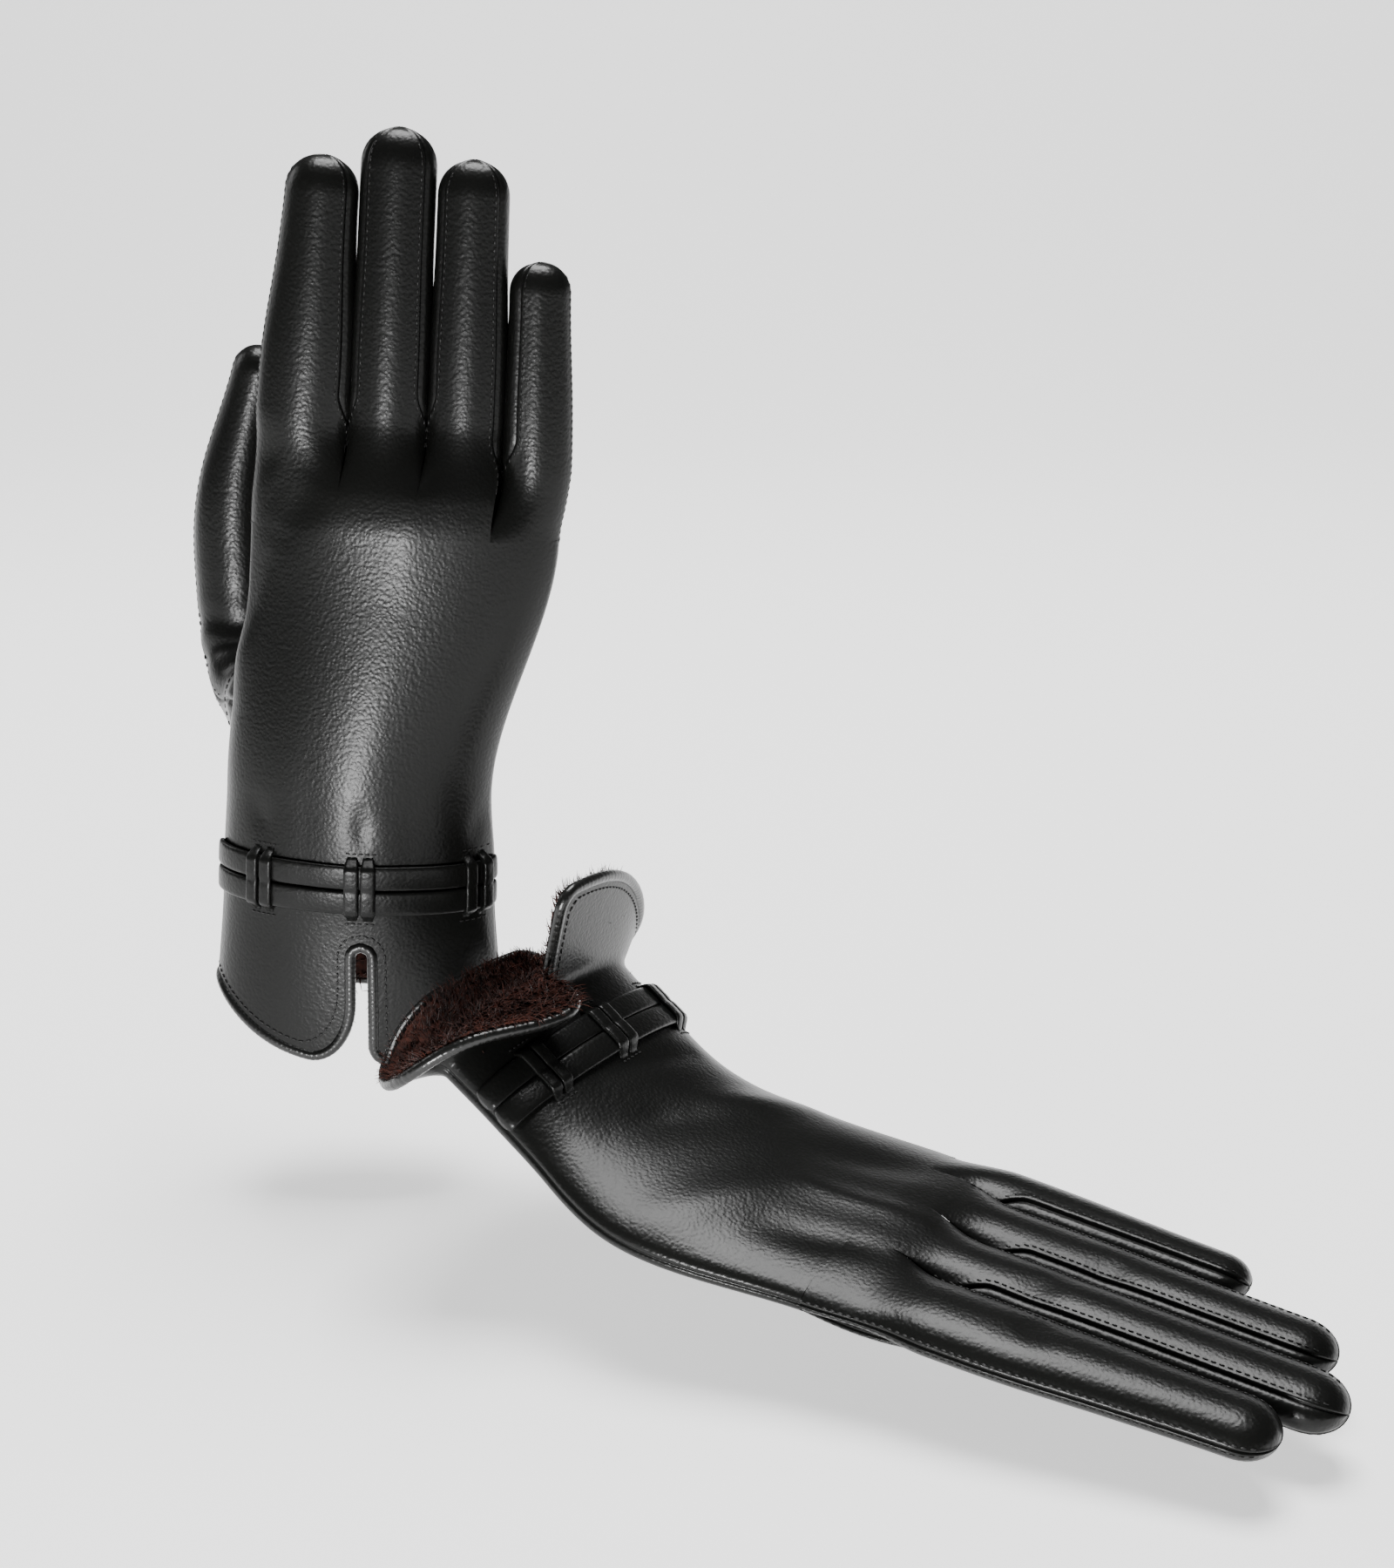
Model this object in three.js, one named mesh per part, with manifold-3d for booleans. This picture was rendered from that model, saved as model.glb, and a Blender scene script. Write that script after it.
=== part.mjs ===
// A pair of lined leather dress gloves: the right one stands on its cuff, as on a hand form,
// with its back to -Y; the left one lies back up beside it with its cuff turned out.
// Millimetres, +Z up. The origin is the centre of the right glove's cuff mouth.
import * as THREE from 'three';
import { mergeVertices } from 'three/addons/utils/BufferGeometryUtils.js';
import Module from 'manifold-3d';

const wasm = await Module();
wasm.setup();

const radians = THREE.MathUtils.degToRad;
const { lerp, smoothstep } = THREE.MathUtils;

// ---- Driving dimensions of one glove, filled by a hand --------------------------------
const LEATHER = 1.1;
const LINING = 1.8;
const PLY_GAP = 0.7; // leather to lining
const SEAM_GAP = 0.45; // between two panels of one ply
const BODY_GAP = 0.5; // each side of a finger's hinge plane
const FINGER_GAP = 0.8; // between neighbouring fingers

const HAND_LENGTH = 174; // hem to the hinges of the index, middle and ring fingers
const CUFF_WIDTH = 83;
const CUFF_DEPTH = 42;
const WRIST_WIDTH = 74;
const WRIST_DEPTH = 38;
const WRIST_AT = 76;
const PALM_WIDTH = 84;
const PALM_DEPTH = 29;
const PALM_AT = 150;
const PALM_SHIFT = 9; // the palm's centre lies towards the little finger
const KNUCKLE_DEPTH = 23;
const KNUCKLE_EDGE = -31.5; // thumb-side edge at the knuckles

// sides: where a finger has a fourchette, 0 towards the little finger and 1 towards the thumb
const FINGERS = [
  { name: 'index', width: 24, tipWidth: 18.6, depth: 17, length: 73.5, lean: 5, drop: 0, sides: [0] },
  { name: 'middle', width: 20.4, tipWidth: 19.6, depth: 17, length: 81.5, lean: 1.4, drop: 0, sides: [0, 1] },
  { name: 'ring', width: 20, tipWidth: 18.6, depth: 16, length: 74.5, lean: 0, drop: 0, sides: [0, 1] },
  { name: 'little', width: 17.6, tipWidth: 15.8, depth: 14.5, length: 60.5, lean: -1.5, drop: 11, sides: [1] },
];
const TIP_DEPTH_SHARE = 0.92; // a finger's depth near its tip against its root
const SEAM_DEPTH_SHARE = 0.9; // depth at which the gap of a finger's seam is taken
const FOURCHETTE_ANGLE = 24; // half of the side strip, seen from the finger's axis
const FLEX_LIMIT = 60; // how far a finger folds towards the palm

const THUMB = {
  lift: 1.2,
  seatAt: 98,
  seat: -0.78,
  seatRadius: 12.5,
  holeRadius: 9.5,
  holeReach: 18,
  width: 24,
  depth: 20,
  tipWidth: 15,
  tipDepth: 15,
  rise: 18,
  bulge: -43,
  tipAcross: -35,
  tipAt: 194.5,
};

const STRAP_AT = 52.5;
const STRAP_WIDTH = 6.8;
const STRAP_GAP = 0.6;
const STRAP_THICKNESS = 1.4;
const STRAP_LIFT = 0.6; // strap to leather, and keeper to strap
const KEEPER_THICKNESS = 1.2;
const KEEPER_FOOT = 1.4;
const KEEPER_STEP = 0.2; // a keeper's slope from foot to bridge
const STRAP_ENDS = 0.12; // angle from each side seam to a strap's end
const KEEPERS = [
  { name: 'thumb_side', across: -26, width: 7.4 },
  { name: 'centre', across: 1.5, width: 8.6 },
  { name: 'outer', across: 32, width: 7.4 },
];

const VENT_WIDTH = 6;
const VENT_LENGTH = 34;
const PIPING = 2.4; // diameter of the rolled binding
const PIPING_GAP = 1.15;
const PIPING_START = 0.012; // angle from the little-finger side to the cord's two ends
const CROWN_ROUND = 4; // how far the notch's crown is rounded
const CORNER_ROUND = 6; // room left for the turn between hem and notch
const CORNER_SWING = 0.1; // and the same along the hem, as an angle
const HEM_RISE = 17; // the hem climbs from the middle of the back to the sides
const HEM_PALM_RISE = 9; // and stays this high across the palm side
const HEM_SWEEP = 2.6; // how late the climb starts

// ---- How each glove lies ---------------------------------------------------------------
const STANDING = {
  side: 'right',
  width: 1,
  handDepth: 1,
  fingerDepth: 1,
  handStretch: 1,
  fingerStretch: 1,
  cuffRows: 2,
  lapelColumns: 3,
  ventAt: 2.6,
  thenar: 0,
  thumb: { rise: THUMB.rise, flat: 1, across: THUMB.bulge, tipAcross: THUMB.tipAcross, seat: THUMB.seat },
};
const EMPTY = {
  side: 'left',
  width: 1.04,
  handDepth: 0.6,
  fingerDepth: 0.76,
  handStretch: 0.96,
  fingerStretch: 1.2,
  cuffRows: 6,
  lapelColumns: 11,
  ventAt: -9,
  thenar: 8,
  thumb: { rise: 8, flat: 0.45, across: 4, tipAcross: 14, seat: -0.25 },
};
const THENAR_AT = 108; // where the tucked thumb widens the hand most
const THENAR_REACH = 30;
const STANDING_LEAN = 3.6; // the standing glove leans towards +X
// The lying glove's spine: heading and fall in degrees at distances from the hem.
const SPINE_START = new THREE.Vector3(34, -28, 44);
const SPINE = [
  { at: 0, heading: -30, fall: 42 },
  { at: 50, heading: -32, fall: 34 },
  { at: 105, heading: -36, fall: 13 },
  { at: 150, heading: -31, fall: 6 },
];
const FOLD_AT = 36; // where the empty cuff turns out
const FOLD_RADIUS = 4.2;
const LAPEL_TURN = 155; // thumb-side lobe, folded back over the strap
const LAPEL_FULL = 0.35; // share of the way round, from the little finger over the back, it turns fully
const LAPEL_ENDS = 0.68; // and where the hem lies flat again
const FAR_TURN = 62; // little-finger-side lobe, flared open
const FAR_ENDS = 0.84; // share of the way round where that flare starts on the palm side

const LEATHER_BLACK = { color: 0x1b1b1a, roughness: 0.5, metalness: 0 };
const PIPING_BLACK = { color: 0x141414, roughness: 0.32, metalness: 0 };
const FUR_BROWN = { color: 0x3a2019, roughness: 0.95, metalness: 0 };

// ---- Solids ------------------------------------------------------------------------------
function signedVolume(position, index) {
  const [a, b, c] = [new THREE.Vector3(), new THREE.Vector3(), new THREE.Vector3()];
  let volume = 0;
  for (let i = 0; i < index.count; i += 3) {
    a.fromBufferAttribute(position, index.getX(i));
    b.fromBufferAttribute(position, index.getX(i + 1));
    c.fromBufferAttribute(position, index.getX(i + 2));
    volume += a.dot(b.cross(c)) / 6;
  }
  return volume;
}

// Merges a geometry's corners, moves every vertex by place(vertex) and turns it face out.
function reshaped(geometry, place) {
  geometry.deleteAttribute('normal');
  geometry.deleteAttribute('uv');
  const solid = mergeVertices(geometry, 1e-5);
  const position = solid.getAttribute('position');
  const vertex = new THREE.Vector3();
  for (let i = 0; i < position.count; i += 1) {
    vertex.fromBufferAttribute(position, i);
    position.setXYZ(i, ...place(vertex));
  }
  const { index } = solid;
  if (signedVolume(position, index) < 0) {
    for (let i = 0; i < index.count; i += 3) {
      const first = index.getX(i);
      index.setX(i, index.getX(i + 1));
      index.setX(i + 1, first);
    }
  }
  return solid;
}

// A sheet with thickness: a box whose columns, rows and two faces are laid where place says.
function sheet(columns, rows, place) {
  const across = columns.length - 1;
  const along = rows.length - 1;
  const box = new THREE.BoxGeometry(1, 1, 1, across, along, 1);
  return reshaped(box, (p) => {
    const u = columns[Math.round((p.x + 0.5) * across)];
    const v = rows[Math.round((p.y + 0.5) * along)];
    return place(u, v, Math.round(p.z + 0.5)).toArray();
  });
}

// A thimble with a closed tip: a lathe whose profile is carried on to the rows of a finger.
function thimble(columns, profile, place) {
  const outline = profile.map((station, i) => new THREE.Vector2(station.onAxis ? 0 : 1 + station.ply, i));
  const turned = new THREE.LatheGeometry(outline, columns);
  return reshaped(turned, (p) => {
    const station = profile[Math.round(p.y)];
    return place(Math.atan2(p.z, p.x), station).toArray();
  });
}

function solidOf(geometry) {
  return new wasm.Manifold(new wasm.Mesh({
    numProp: 3,
    vertProperties: new Float32Array(geometry.getAttribute('position').array),
    triVerts: new Uint32Array(geometry.index.array),
  }));
}

function geometryOf(solid) {
  const mesh = solid.getMesh();
  const result = new THREE.BufferGeometry();
  result.setAttribute('position', new THREE.BufferAttribute(mesh.vertProperties, 3));
  result.setIndex(new THREE.BufferAttribute(mesh.triVerts, 1));
  return result;
}

function cut(geometry, cutter) {
  return geometryOf(solidOf(geometry).subtract(solidOf(cutter)));
}

function joined(geometries) {
  return geometryOf(geometries.map(solidOf).reduce((whole, piece) => whole.add(piece)));
}

function named(name, geometry, finish) {
  const mesh = new THREE.Mesh(geometry, new THREE.MeshStandardMaterial(finish));
  mesh.name = name;
  return mesh;
}

function spread(from, to, count) {
  return Array.from({ length: count + 1 }, (_, i) => lerp(from, to, i / count));
}

// Smooth value of a field at a distance along a list of stations that have "at".
function along(stations, field, at) {
  const last = stations.length - 1;
  if (at <= stations[0].at) return stations[0][field];
  if (at >= stations[last].at) return stations[last][field];
  const i = stations.findIndex((station) => station.at > at) - 1;
  const share = smoothstep(at, stations[i].at, stations[i + 1].at);
  return lerp(stations[i][field], stations[i + 1][field], share);
}

// ---- The glove's shape in its own frame: across, along (from the hem) and out (to the back) ----
const KNUCKLE_WIDTH = FINGERS.reduce((sum, finger) => sum + finger.width + FINGER_GAP, -FINGER_GAP);
const HAND = [
  { at: 0, centre: -0.5, width: CUFF_WIDTH, depth: CUFF_DEPTH },
  { at: STRAP_AT, centre: -1.5, width: WRIST_WIDTH + 2.5, depth: WRIST_DEPTH + 2 },
  { at: WRIST_AT, centre: -2, width: WRIST_WIDTH, depth: WRIST_DEPTH },
  { at: PALM_AT, centre: PALM_SHIFT, width: PALM_WIDTH, depth: PALM_DEPTH },
  { at: HAND_LENGTH, centre: KNUCKLE_EDGE + KNUCKLE_WIDTH / 2, width: KNUCKLE_WIDTH, depth: KNUCKLE_DEPTH },
];
const CUFF_TOP = VENT_LENGTH + PIPING + PIPING_GAP; // the crown of the notch, with its binding's room
const CUFF_JOIN = 1.5; // how far the lobes run up into the hand's part
const LOBE_SHY = 0.04; // and how much thinner they are on each face
const HAND_ROWS = [1, 1.1, 1.24, 1.42, 1.62, 1.82, 2];
const BACK_COLUMNS = 10;
const PALM_COLUMNS = 6;
const FINGER_COLUMNS = 6;
const LINING_COLUMNS = 12;
const CORD_STEPS = 66;
const LEAST_SHRINK = 0.3; // seams widen no further than this where a tip rounds over
const FLEX_SLOPE = Math.tan(radians(FLEX_LIMIT / 2));

class Glove {
  constructor(fit) {
    this.fit = fit;
    this.group = new THREE.Group();
    this.ventAngle = this.angleAt(fit.ventAt, 0);
    this.fingers = this.laidFingers();
    this.spine = this.laidSpine();
  }

  // -- placing: own frame to the pair's frame
  laidSpine() {
    const points = [SPINE_START.clone()];
    const step = 10;
    for (let at = 0; at < 290; at += step) {
      const heading = radians(along(SPINE, 'heading', at + step / 2));
      const fall = radians(along(SPINE, 'fall', at + step / 2));
      const run = new THREE.Vector3(
        Math.cos(heading) * Math.cos(fall),
        Math.sin(heading) * Math.cos(fall),
        -Math.sin(fall),
      );
      points.push(points[points.length - 1].clone().addScaledVector(run, step));
    }
    return { step, points };
  }

  placed(across, at, out) {
    if (this.fit.side === 'right') {
      const lean = radians(STANDING_LEAN);
      const x = across * Math.cos(lean) + at * Math.sin(lean);
      const z = at * Math.cos(lean) - across * Math.sin(lean);
      return new THREE.Vector3(x, -out, z);
    }
    const { step, points } = this.spine;
    const i = THREE.MathUtils.clamp(Math.floor(at / step), 0, points.length - 2);
    const spot = points[i].clone().lerp(points[i + 1], at / step - i);
    const heading = radians(along(SPINE, 'heading', at));
    const fall = radians(along(SPINE, 'fall', at));
    const run = new THREE.Vector3(Math.cos(heading), Math.sin(heading), 0);
    const side = new THREE.Vector3(-run.y, run.x, 0);
    const back = run.multiplyScalar(Math.sin(fall)).setZ(Math.cos(fall));
    return spot.addScaledVector(side, across).addScaledVector(back, out);
  }

  // -- the hand's oval section
  section(at) {
    const { width, handDepth } = this.fit;
    return {
      centre: along(HAND, 'centre', at),
      half: (along(HAND, 'width', at) / 2) * width,
      rise: (along(HAND, 'depth', at) / 2) * handDepth,
    };
  }

  angleAt(across, at) {
    const { centre, half } = this.section(at);
    return Math.acos(THREE.MathUtils.clamp((across - centre) / half, -1, 1));
  }

  hemAt(angle) {
    const sideways = Math.abs(Math.cos(angle)) ** HEM_SWEEP;
    const middle = HEM_PALM_RISE * THREE.MathUtils.clamp(-2 * Math.sin(angle), 0, 1);
    return lerp(middle, HEM_RISE, sideways);
  }

  // How far the cuff turns out at an angle round the section; 0 is the little-finger side.
  turnAt(angle) {
    if (this.fit.side === 'right') return 0;
    const turns = (angle / (2 * Math.PI) + 1) % 1;
    const vent = this.ventAngle / (2 * Math.PI);
    if (turns < vent) return radians(FAR_TURN);
    if (turns < LAPEL_ENDS) return radians(lerp(LAPEL_TURN, 0, smoothstep(turns, LAPEL_FULL, LAPEL_ENDS)));
    return radians(FAR_TURN * smoothstep(turns, FAR_ENDS, 1));
  }

  // The tucked thumb widens its side of the hand.
  widened(angle, at) {
    const thumbwards = smoothstep(-Math.cos(angle), 0, 1);
    return this.fit.thenar * Math.exp(-(((at - THENAR_AT) / THENAR_REACH) ** 2)) * thumbwards;
  }

  // A point of the hand: angle round the section, distance from the hem, depth below the leather's face.
  handPoint(angle, at, depth) {
    const turn = this.turnAt(angle);
    const beyond = turn > 0 ? Math.max(0, FOLD_AT - at) : 0;
    const { centre, half, rise } = this.section(beyond > 0 ? FOLD_AT : at);
    const outward = new THREE.Vector2(Math.cos(angle) / half, Math.sin(angle) / rise).normalize();
    let lift = -depth;
    let place = at;
    if (beyond > 0) {
      const middle = FOLD_RADIUS + (LEATHER + PLY_GAP + LINING) / 2;
      const bend = Math.min(beyond / middle, turn);
      const straight = beyond - bend * middle;
      lift = FOLD_RADIUS - (FOLD_RADIUS + depth) * Math.cos(bend) + straight * Math.sin(bend);
      place = FOLD_AT - (FOLD_RADIUS + depth) * Math.sin(bend) - straight * Math.cos(bend);
    }
    return this.placed(
      centre + (half - depth) * Math.cos(angle) + outward.x * (lift + depth) - this.widened(angle, at),
      place * this.fit.handStretch,
      (rise - depth) * Math.sin(angle) + outward.y * (lift + depth),
    );
  }

  // -- the fingers' own frames: a hinge at the hand's edge and a direction
  laidFingers() {
    const { width, handStretch, fingerStretch, fingerDepth } = this.fit;
    const middle = KNUCKLE_EDGE + KNUCKLE_WIDTH / 2;
    let edge = KNUCKLE_EDGE;
    return FINGERS.map((finger) => {
      const centre = middle + (edge + finger.width / 2 - middle) * width;
      edge += finger.width + FINGER_GAP;
      const length = finger.length * fingerStretch;
      return {
        ...finger,
        centre,
        hinge: (HAND_LENGTH - finger.drop) * handStretch,
        length,
        tilt: Math.asin((finger.lean * width) / length),
        half: (finger.width / 2) * width,
        tipHalf: (finger.tipWidth / 2) * width,
        rise: (finger.depth / 2) * fingerDepth,
        from: centre - (finger.width / 2) * width,
        to: centre + (finger.width / 2) * width,
      };
    });
  }

  // Highest place of the hand under a finger, on the hand's side of the hinge plane.
  handTop(finger, across, out) {
    const below = BODY_GAP + Math.max(0, -out) * FLEX_SLOPE;
    return finger.hinge - (below + (across - finger.centre) * Math.sin(finger.tilt)) / Math.cos(finger.tilt);
  }

  topAt(angle, depth) {
    const { centre, half, rise } = this.section(HAND_LENGTH);
    const across = centre + (half - depth) * Math.cos(angle);
    const out = (rise - depth) * Math.sin(angle);
    const edge = centre + half * Math.cos(angle);
    const reach = (FINGER_GAP / 2) * this.fit.width;
    const finger = this.fingers.find((f) => edge < f.to + reach) ?? this.fingers[3];
    return this.handTop(finger, across, out) / this.fit.handStretch;
  }

  // Columns round part of the section: even ones, with a close pair where the top edge steps.
  columns(from, to, count, steps) {
    const pair = 0.004;
    const clear = 0.03;
    const free = (angle) => steps.every((step) => Math.abs(angle - step) > clear);
    const within = steps.filter((step) => step > from && step < to);
    const pairs = within.flatMap((step) => [step - pair, step + pair]);
    return [...spread(from, to, count).filter(free), ...pairs].sort((a, b) => a - b);
  }

  // Angles of the cuff notch's two cut edges.
  ventEdges(clear) {
    const reach = VENT_WIDTH / 2 + clear;
    return [this.angleAt(this.fit.ventAt + reach, 0), this.angleAt(this.fit.ventAt - reach, 0)];
  }

  // Columns round the hand, with a step between the ring and the little finger.
  handColumns(from, to, count) {
    const [, , ring, little] = this.fingers;
    const { centre, half } = this.section(HAND_LENGTH);
    const step = Math.acos(((ring.to + little.from) / 2 - centre) / half);
    return this.columns(from, to, count, [step, 2 * Math.PI - step]);
  }

  // Distance from the hem: rows 0 to 1 climb the cuff, rows 1 to 2 climb to the fingers' hinges.
  rowAt(angle, row, depth) {
    if (row >= 1) return lerp(CUFF_TOP, this.topAt(angle, depth), row - 1);
    return lerp(this.hemAt(angle) + PIPING + PIPING_GAP, CUFF_TOP, row);
  }

  // One ply of the back, with the notch left open between two lobes. The lobes run a little way
  // up inside the hand's part, slightly thinner, and are joined to it.
  backPly(outer, inner) {
    const gap = SEAM_GAP / 2 / this.section(0).rise;
    const [first, second] = this.ventEdges(PIPING + PIPING_GAP);
    const handColumns = this.handColumns(gap, Math.PI - gap, BACK_COLUMNS);
    const hand = sheet(handColumns, HAND_ROWS, (angle, row, face) => {
      const depth = face ? outer : inner;
      return this.handPoint(angle, this.rowAt(angle, row, depth), depth);
    });
    const lobe = (from, to, count) => {
      const rows = spread(0, 1, this.fit.cuffRows);
      return sheet(spread(from, to, count), rows, (angle, row, face) => {
        const depth = face ? outer + LOBE_SHY : inner - LOBE_SHY;
        return this.handPoint(angle, this.rowAt(angle, row, depth) + CUFF_JOIN * row, depth);
      });
    };
    return joined([hand, lobe(gap, first, 5), lobe(second, Math.PI - gap, 6)]);
  }

  palmPly(outer, inner) {
    const gap = SEAM_GAP / 2 / this.section(0).rise;
    const turned = LAPEL_ENDS * 2 * Math.PI;
    const columns = [
      ...spread(Math.PI + gap, turned, this.fit.lapelColumns).slice(0, -1),
      ...this.handColumns(turned, 2 * Math.PI - gap, PALM_COLUMNS),
    ];
    const rows = [...spread(0, 1, this.fit.cuffRows).slice(0, -1), ...HAND_ROWS];
    return sheet(columns, rows, (angle, row, face) => {
      const depth = face ? outer : inner;
      return this.handPoint(angle, this.rowAt(angle, row, depth), depth);
    });
  }

  addHand() {
    const { side } = this.fit;
    const under = LEATHER + PLY_GAP;
    const hole = this.thumbHole();
    const back = this.backPly(0, LEATHER);
    const palm = this.palmPly(0, LEATHER);
    const liningBack = this.backPly(under, under + LINING);
    const liningPalm = this.palmPly(under, under + LINING);
    this.group.add(
      named(`${side}_back_panel`, back, LEATHER_BLACK),
      named(`${side}_palm_panel`, cut(palm, hole), LEATHER_BLACK),
      named(`${side}_lining_back`, liningBack, FUR_BROWN),
      named(`${side}_lining_palm`, cut(liningPalm, hole), FUR_BROWN),
    );
  }

  // -- cuff trim: one rolled cord along the hem, up one side of the notch, over its crown and down
  addBinding() {
    const radius = PIPING / 2;
    const depth = (LEATHER + PLY_GAP + LINING) / 2;
    const [ventFrom, ventTo] = this.ventEdges(radius);
    const crown = VENT_LENGTH + radius;
    const foot = radius + CORNER_ROUND;
    const shoulder = crown - CORNER_ROUND;
    const on = (angle, at) => this.handPoint(angle, at, depth);
    const onHem = (angle) => on(angle, this.hemAt(angle) + radius);
    const onCrown = (turn) => {
      const share = (1 - Math.cos(turn)) / 2;
      return on(lerp(ventFrom, ventTo, share), crown - CROWN_ROUND * (1 - Math.sin(turn)));
    };
    const points = [
      ...spread(PIPING_START, ventFrom - CORNER_SWING, 9).map(onHem),
      on(ventFrom - CORNER_SWING / 5, PIPING),
      ...spread(foot, shoulder, 4).map((at) => on(ventFrom, at)),
      ...spread(0, Math.PI, 4).slice(1, -1).map(onCrown),
      ...spread(shoulder, foot, 4).map((at) => on(ventTo, at)),
      on(ventTo + CORNER_SWING / 5, PIPING),
      ...spread(ventTo + CORNER_SWING, 2 * Math.PI - PIPING_START, 26).map(onHem),
    ];
    const extrudePath = new THREE.CatmullRomCurve3(points, false, 'centripetal');
    const circle = new THREE.Shape();
    circle.absarc(0, 0, radius, 0, 2 * Math.PI);
    const options = { steps: CORD_STEPS, curveSegments: 3, bevelEnabled: false, extrudePath };
    const binding = reshaped(new THREE.ExtrudeGeometry(circle, options), (p) => p.toArray());
    this.group.add(named(`${this.fit.side}_cuff_binding`, binding, PIPING_BLACK));
  }

  addStraps() {
    const { side } = this.fit;
    const columns = spread(STRAP_ENDS, Math.PI - STRAP_ENDS, 16);
    const strands = [['upper', 1], ['lower', -1]];
    strands.forEach(([name, sign]) => {
      const inner = STRAP_AT + sign * (STRAP_GAP / 2);
      const outer = STRAP_AT + sign * (STRAP_GAP / 2 + STRAP_WIDTH);
      const strand = sheet(columns, [inner, outer], (angle, at, face) => (
        this.handPoint(angle, at, face ? -STRAP_LIFT - STRAP_THICKNESS : -STRAP_LIFT)));
      this.group.add(named(`${side}_strap_${name}`, strand, LEATHER_BLACK));
    });
    this.addKeepers();
  }

  addKeepers() {
    const over = STRAP_LIFT * 2 + STRAP_THICKNESS;
    const reach = STRAP_GAP / 2 + STRAP_WIDTH + STRAP_LIFT;
    const bridge = reach - KEEPER_STEP;
    const rows = [-reach - KEEPER_FOOT, -reach, -bridge, bridge, reach, reach + KEEPER_FOOT];
    KEEPERS.forEach((keeper) => {
      const from = this.angleAt(keeper.across + keeper.width / 2, STRAP_AT);
      const to = this.angleAt(keeper.across - keeper.width / 2, STRAP_AT);
      const loop = sheet(spread(from, to, 3), rows, (angle, at, face) => {
        const onFoot = Math.abs(at) >= reach;
        const bottom = onFoot ? STRAP_LIFT : over;
        const top = Math.abs(at) > reach ? STRAP_LIFT + KEEPER_THICKNESS : over + KEEPER_THICKNESS;
        return this.handPoint(angle, STRAP_AT + at, face ? -top : -bottom);
      });
      this.group.add(named(`${this.fit.side}_keeper_${keeper.name}`, loop, LEATHER_BLACK));
    });
  }

  // -- fingers
  // Rows of a finger: even ones up the straight part, then by angle over the rounded tip.
  fingerRows(finger) {
    const cap = finger.tipHalf;
    const straight = spread(0, 1, 4).map((share) => ({ share, tip: 0 }));
    const rounded = [30, 55, 75].map((degrees) => ({ share: 1, tip: radians(degrees) }));
    return [...straight, ...rounded].map((row) => ({
      ...row,
      at: (finger.length - cap) * row.share + cap * Math.sin(row.tip),
      shrink: Math.cos(row.tip),
    }));
  }

  fingerPoint(finger, angle, row, depth) {
    const swell = smoothstep(row.share, 0, 0.75);
    const half = lerp(finger.half, finger.tipHalf, swell) * row.shrink - depth;
    const rise = lerp(finger.rise, finger.rise * TIP_DEPTH_SHARE, swell) * row.shrink - depth;
    const across = half * Math.cos(angle);
    const out = rise * Math.sin(angle);
    const start = BODY_GAP + Math.max(0, -out) * FLEX_SLOPE;
    const at = Math.max(row.at, start + row.share * 0.5);
    const { centre, hinge, tilt } = finger;
    return this.placed(
      centre + at * Math.sin(tilt) + across * Math.cos(tilt),
      hinge + at * Math.cos(tilt) - across * Math.sin(tilt),
      out,
    );
  }

  addFinger(finger) {
    const { side } = this.fit;
    const name = `${side}_${finger.name}`;
    const rows = this.fingerRows(finger);
    const strip = radians(FOURCHETTE_ANGLE);
    const seam = SEAM_GAP / 2 / (finger.rise * SEAM_DEPTH_SHARE);
    // angle 0 faces the little finger, angle pi faces the thumb
    const low = finger.sides.includes(0) ? strip : 0;
    const high = finger.sides.includes(1) ? strip : 0;
    const narrow = (row) => seam / Math.max(row.shrink, LEAST_SHRINK);
    const shell = (from, to) => sheet(spread(0, 1, FINGER_COLUMNS), rows, (share, row, face) => {
      const angle = lerp(from + narrow(row), to - narrow(row), share);
      return this.fingerPoint(finger, angle, row, face ? 0 : LEATHER);
    });
    this.group.add(
      named(`${name}_back`, shell(low, Math.PI - high), LEATHER_BLACK),
      named(`${name}_palm`, shell(Math.PI + high, 2 * Math.PI - low), LEATHER_BLACK),
      named(`${name}_fourchette`, this.fourchette(finger, rows, strip, narrow), LEATHER_BLACK),
      named(`${name}_lining`, this.fingerLining(finger, rows), FUR_BROWN),
    );
  }

  // The strip between a finger's back and palm, up one side or up, over the tip and down.
  fourchette(finger, rows, strip, narrow) {
    const up = rows.map((row) => ({ row, centre: 0 }));
    const down = rows.map((row) => ({ row, centre: Math.PI })).reverse();
    const onLow = finger.sides.includes(0);
    const onHigh = finger.sides.includes(1);
    const route = onLow && onHigh ? [...up, ...down] : (onLow ? up : down);
    return sheet([-1, 0, 1], route, (share, stop, face) => {
      const turned = stop.centre === 0 ? share : -share;
      const angle = stop.centre + turned * (strip - narrow(stop.row));
      return this.fingerPoint(finger, angle, stop.row, face ? 0 : LEATHER);
    });
  }

  fingerLining(finger, rows) {
    const outer = LEATHER + PLY_GAP;
    const inner = outer + LINING;
    const tipRow = rows[rows.length - 2];
    const innerTip = rows[rows.length - 3];
    const profile = [
      { row: tipRow, ply: outer, onAxis: true },
      ...rows.slice(0, -1).reverse().map((row) => ({ row, ply: outer })),
      ...rows.slice(0, -2).map((row) => ({ row, ply: inner })),
      { row: innerTip, ply: inner, onAxis: true },
    ];
    return thimble(LINING_COLUMNS, profile, (angle, station) => {
      if (!station.onAxis) return this.fingerPoint(finger, angle, station.row, station.ply);
      const { centre, hinge, tilt } = finger;
      const { at } = station.row;
      return this.placed(centre + at * Math.sin(tilt), hinge + at * Math.cos(tilt), 0);
    });
  }

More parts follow.
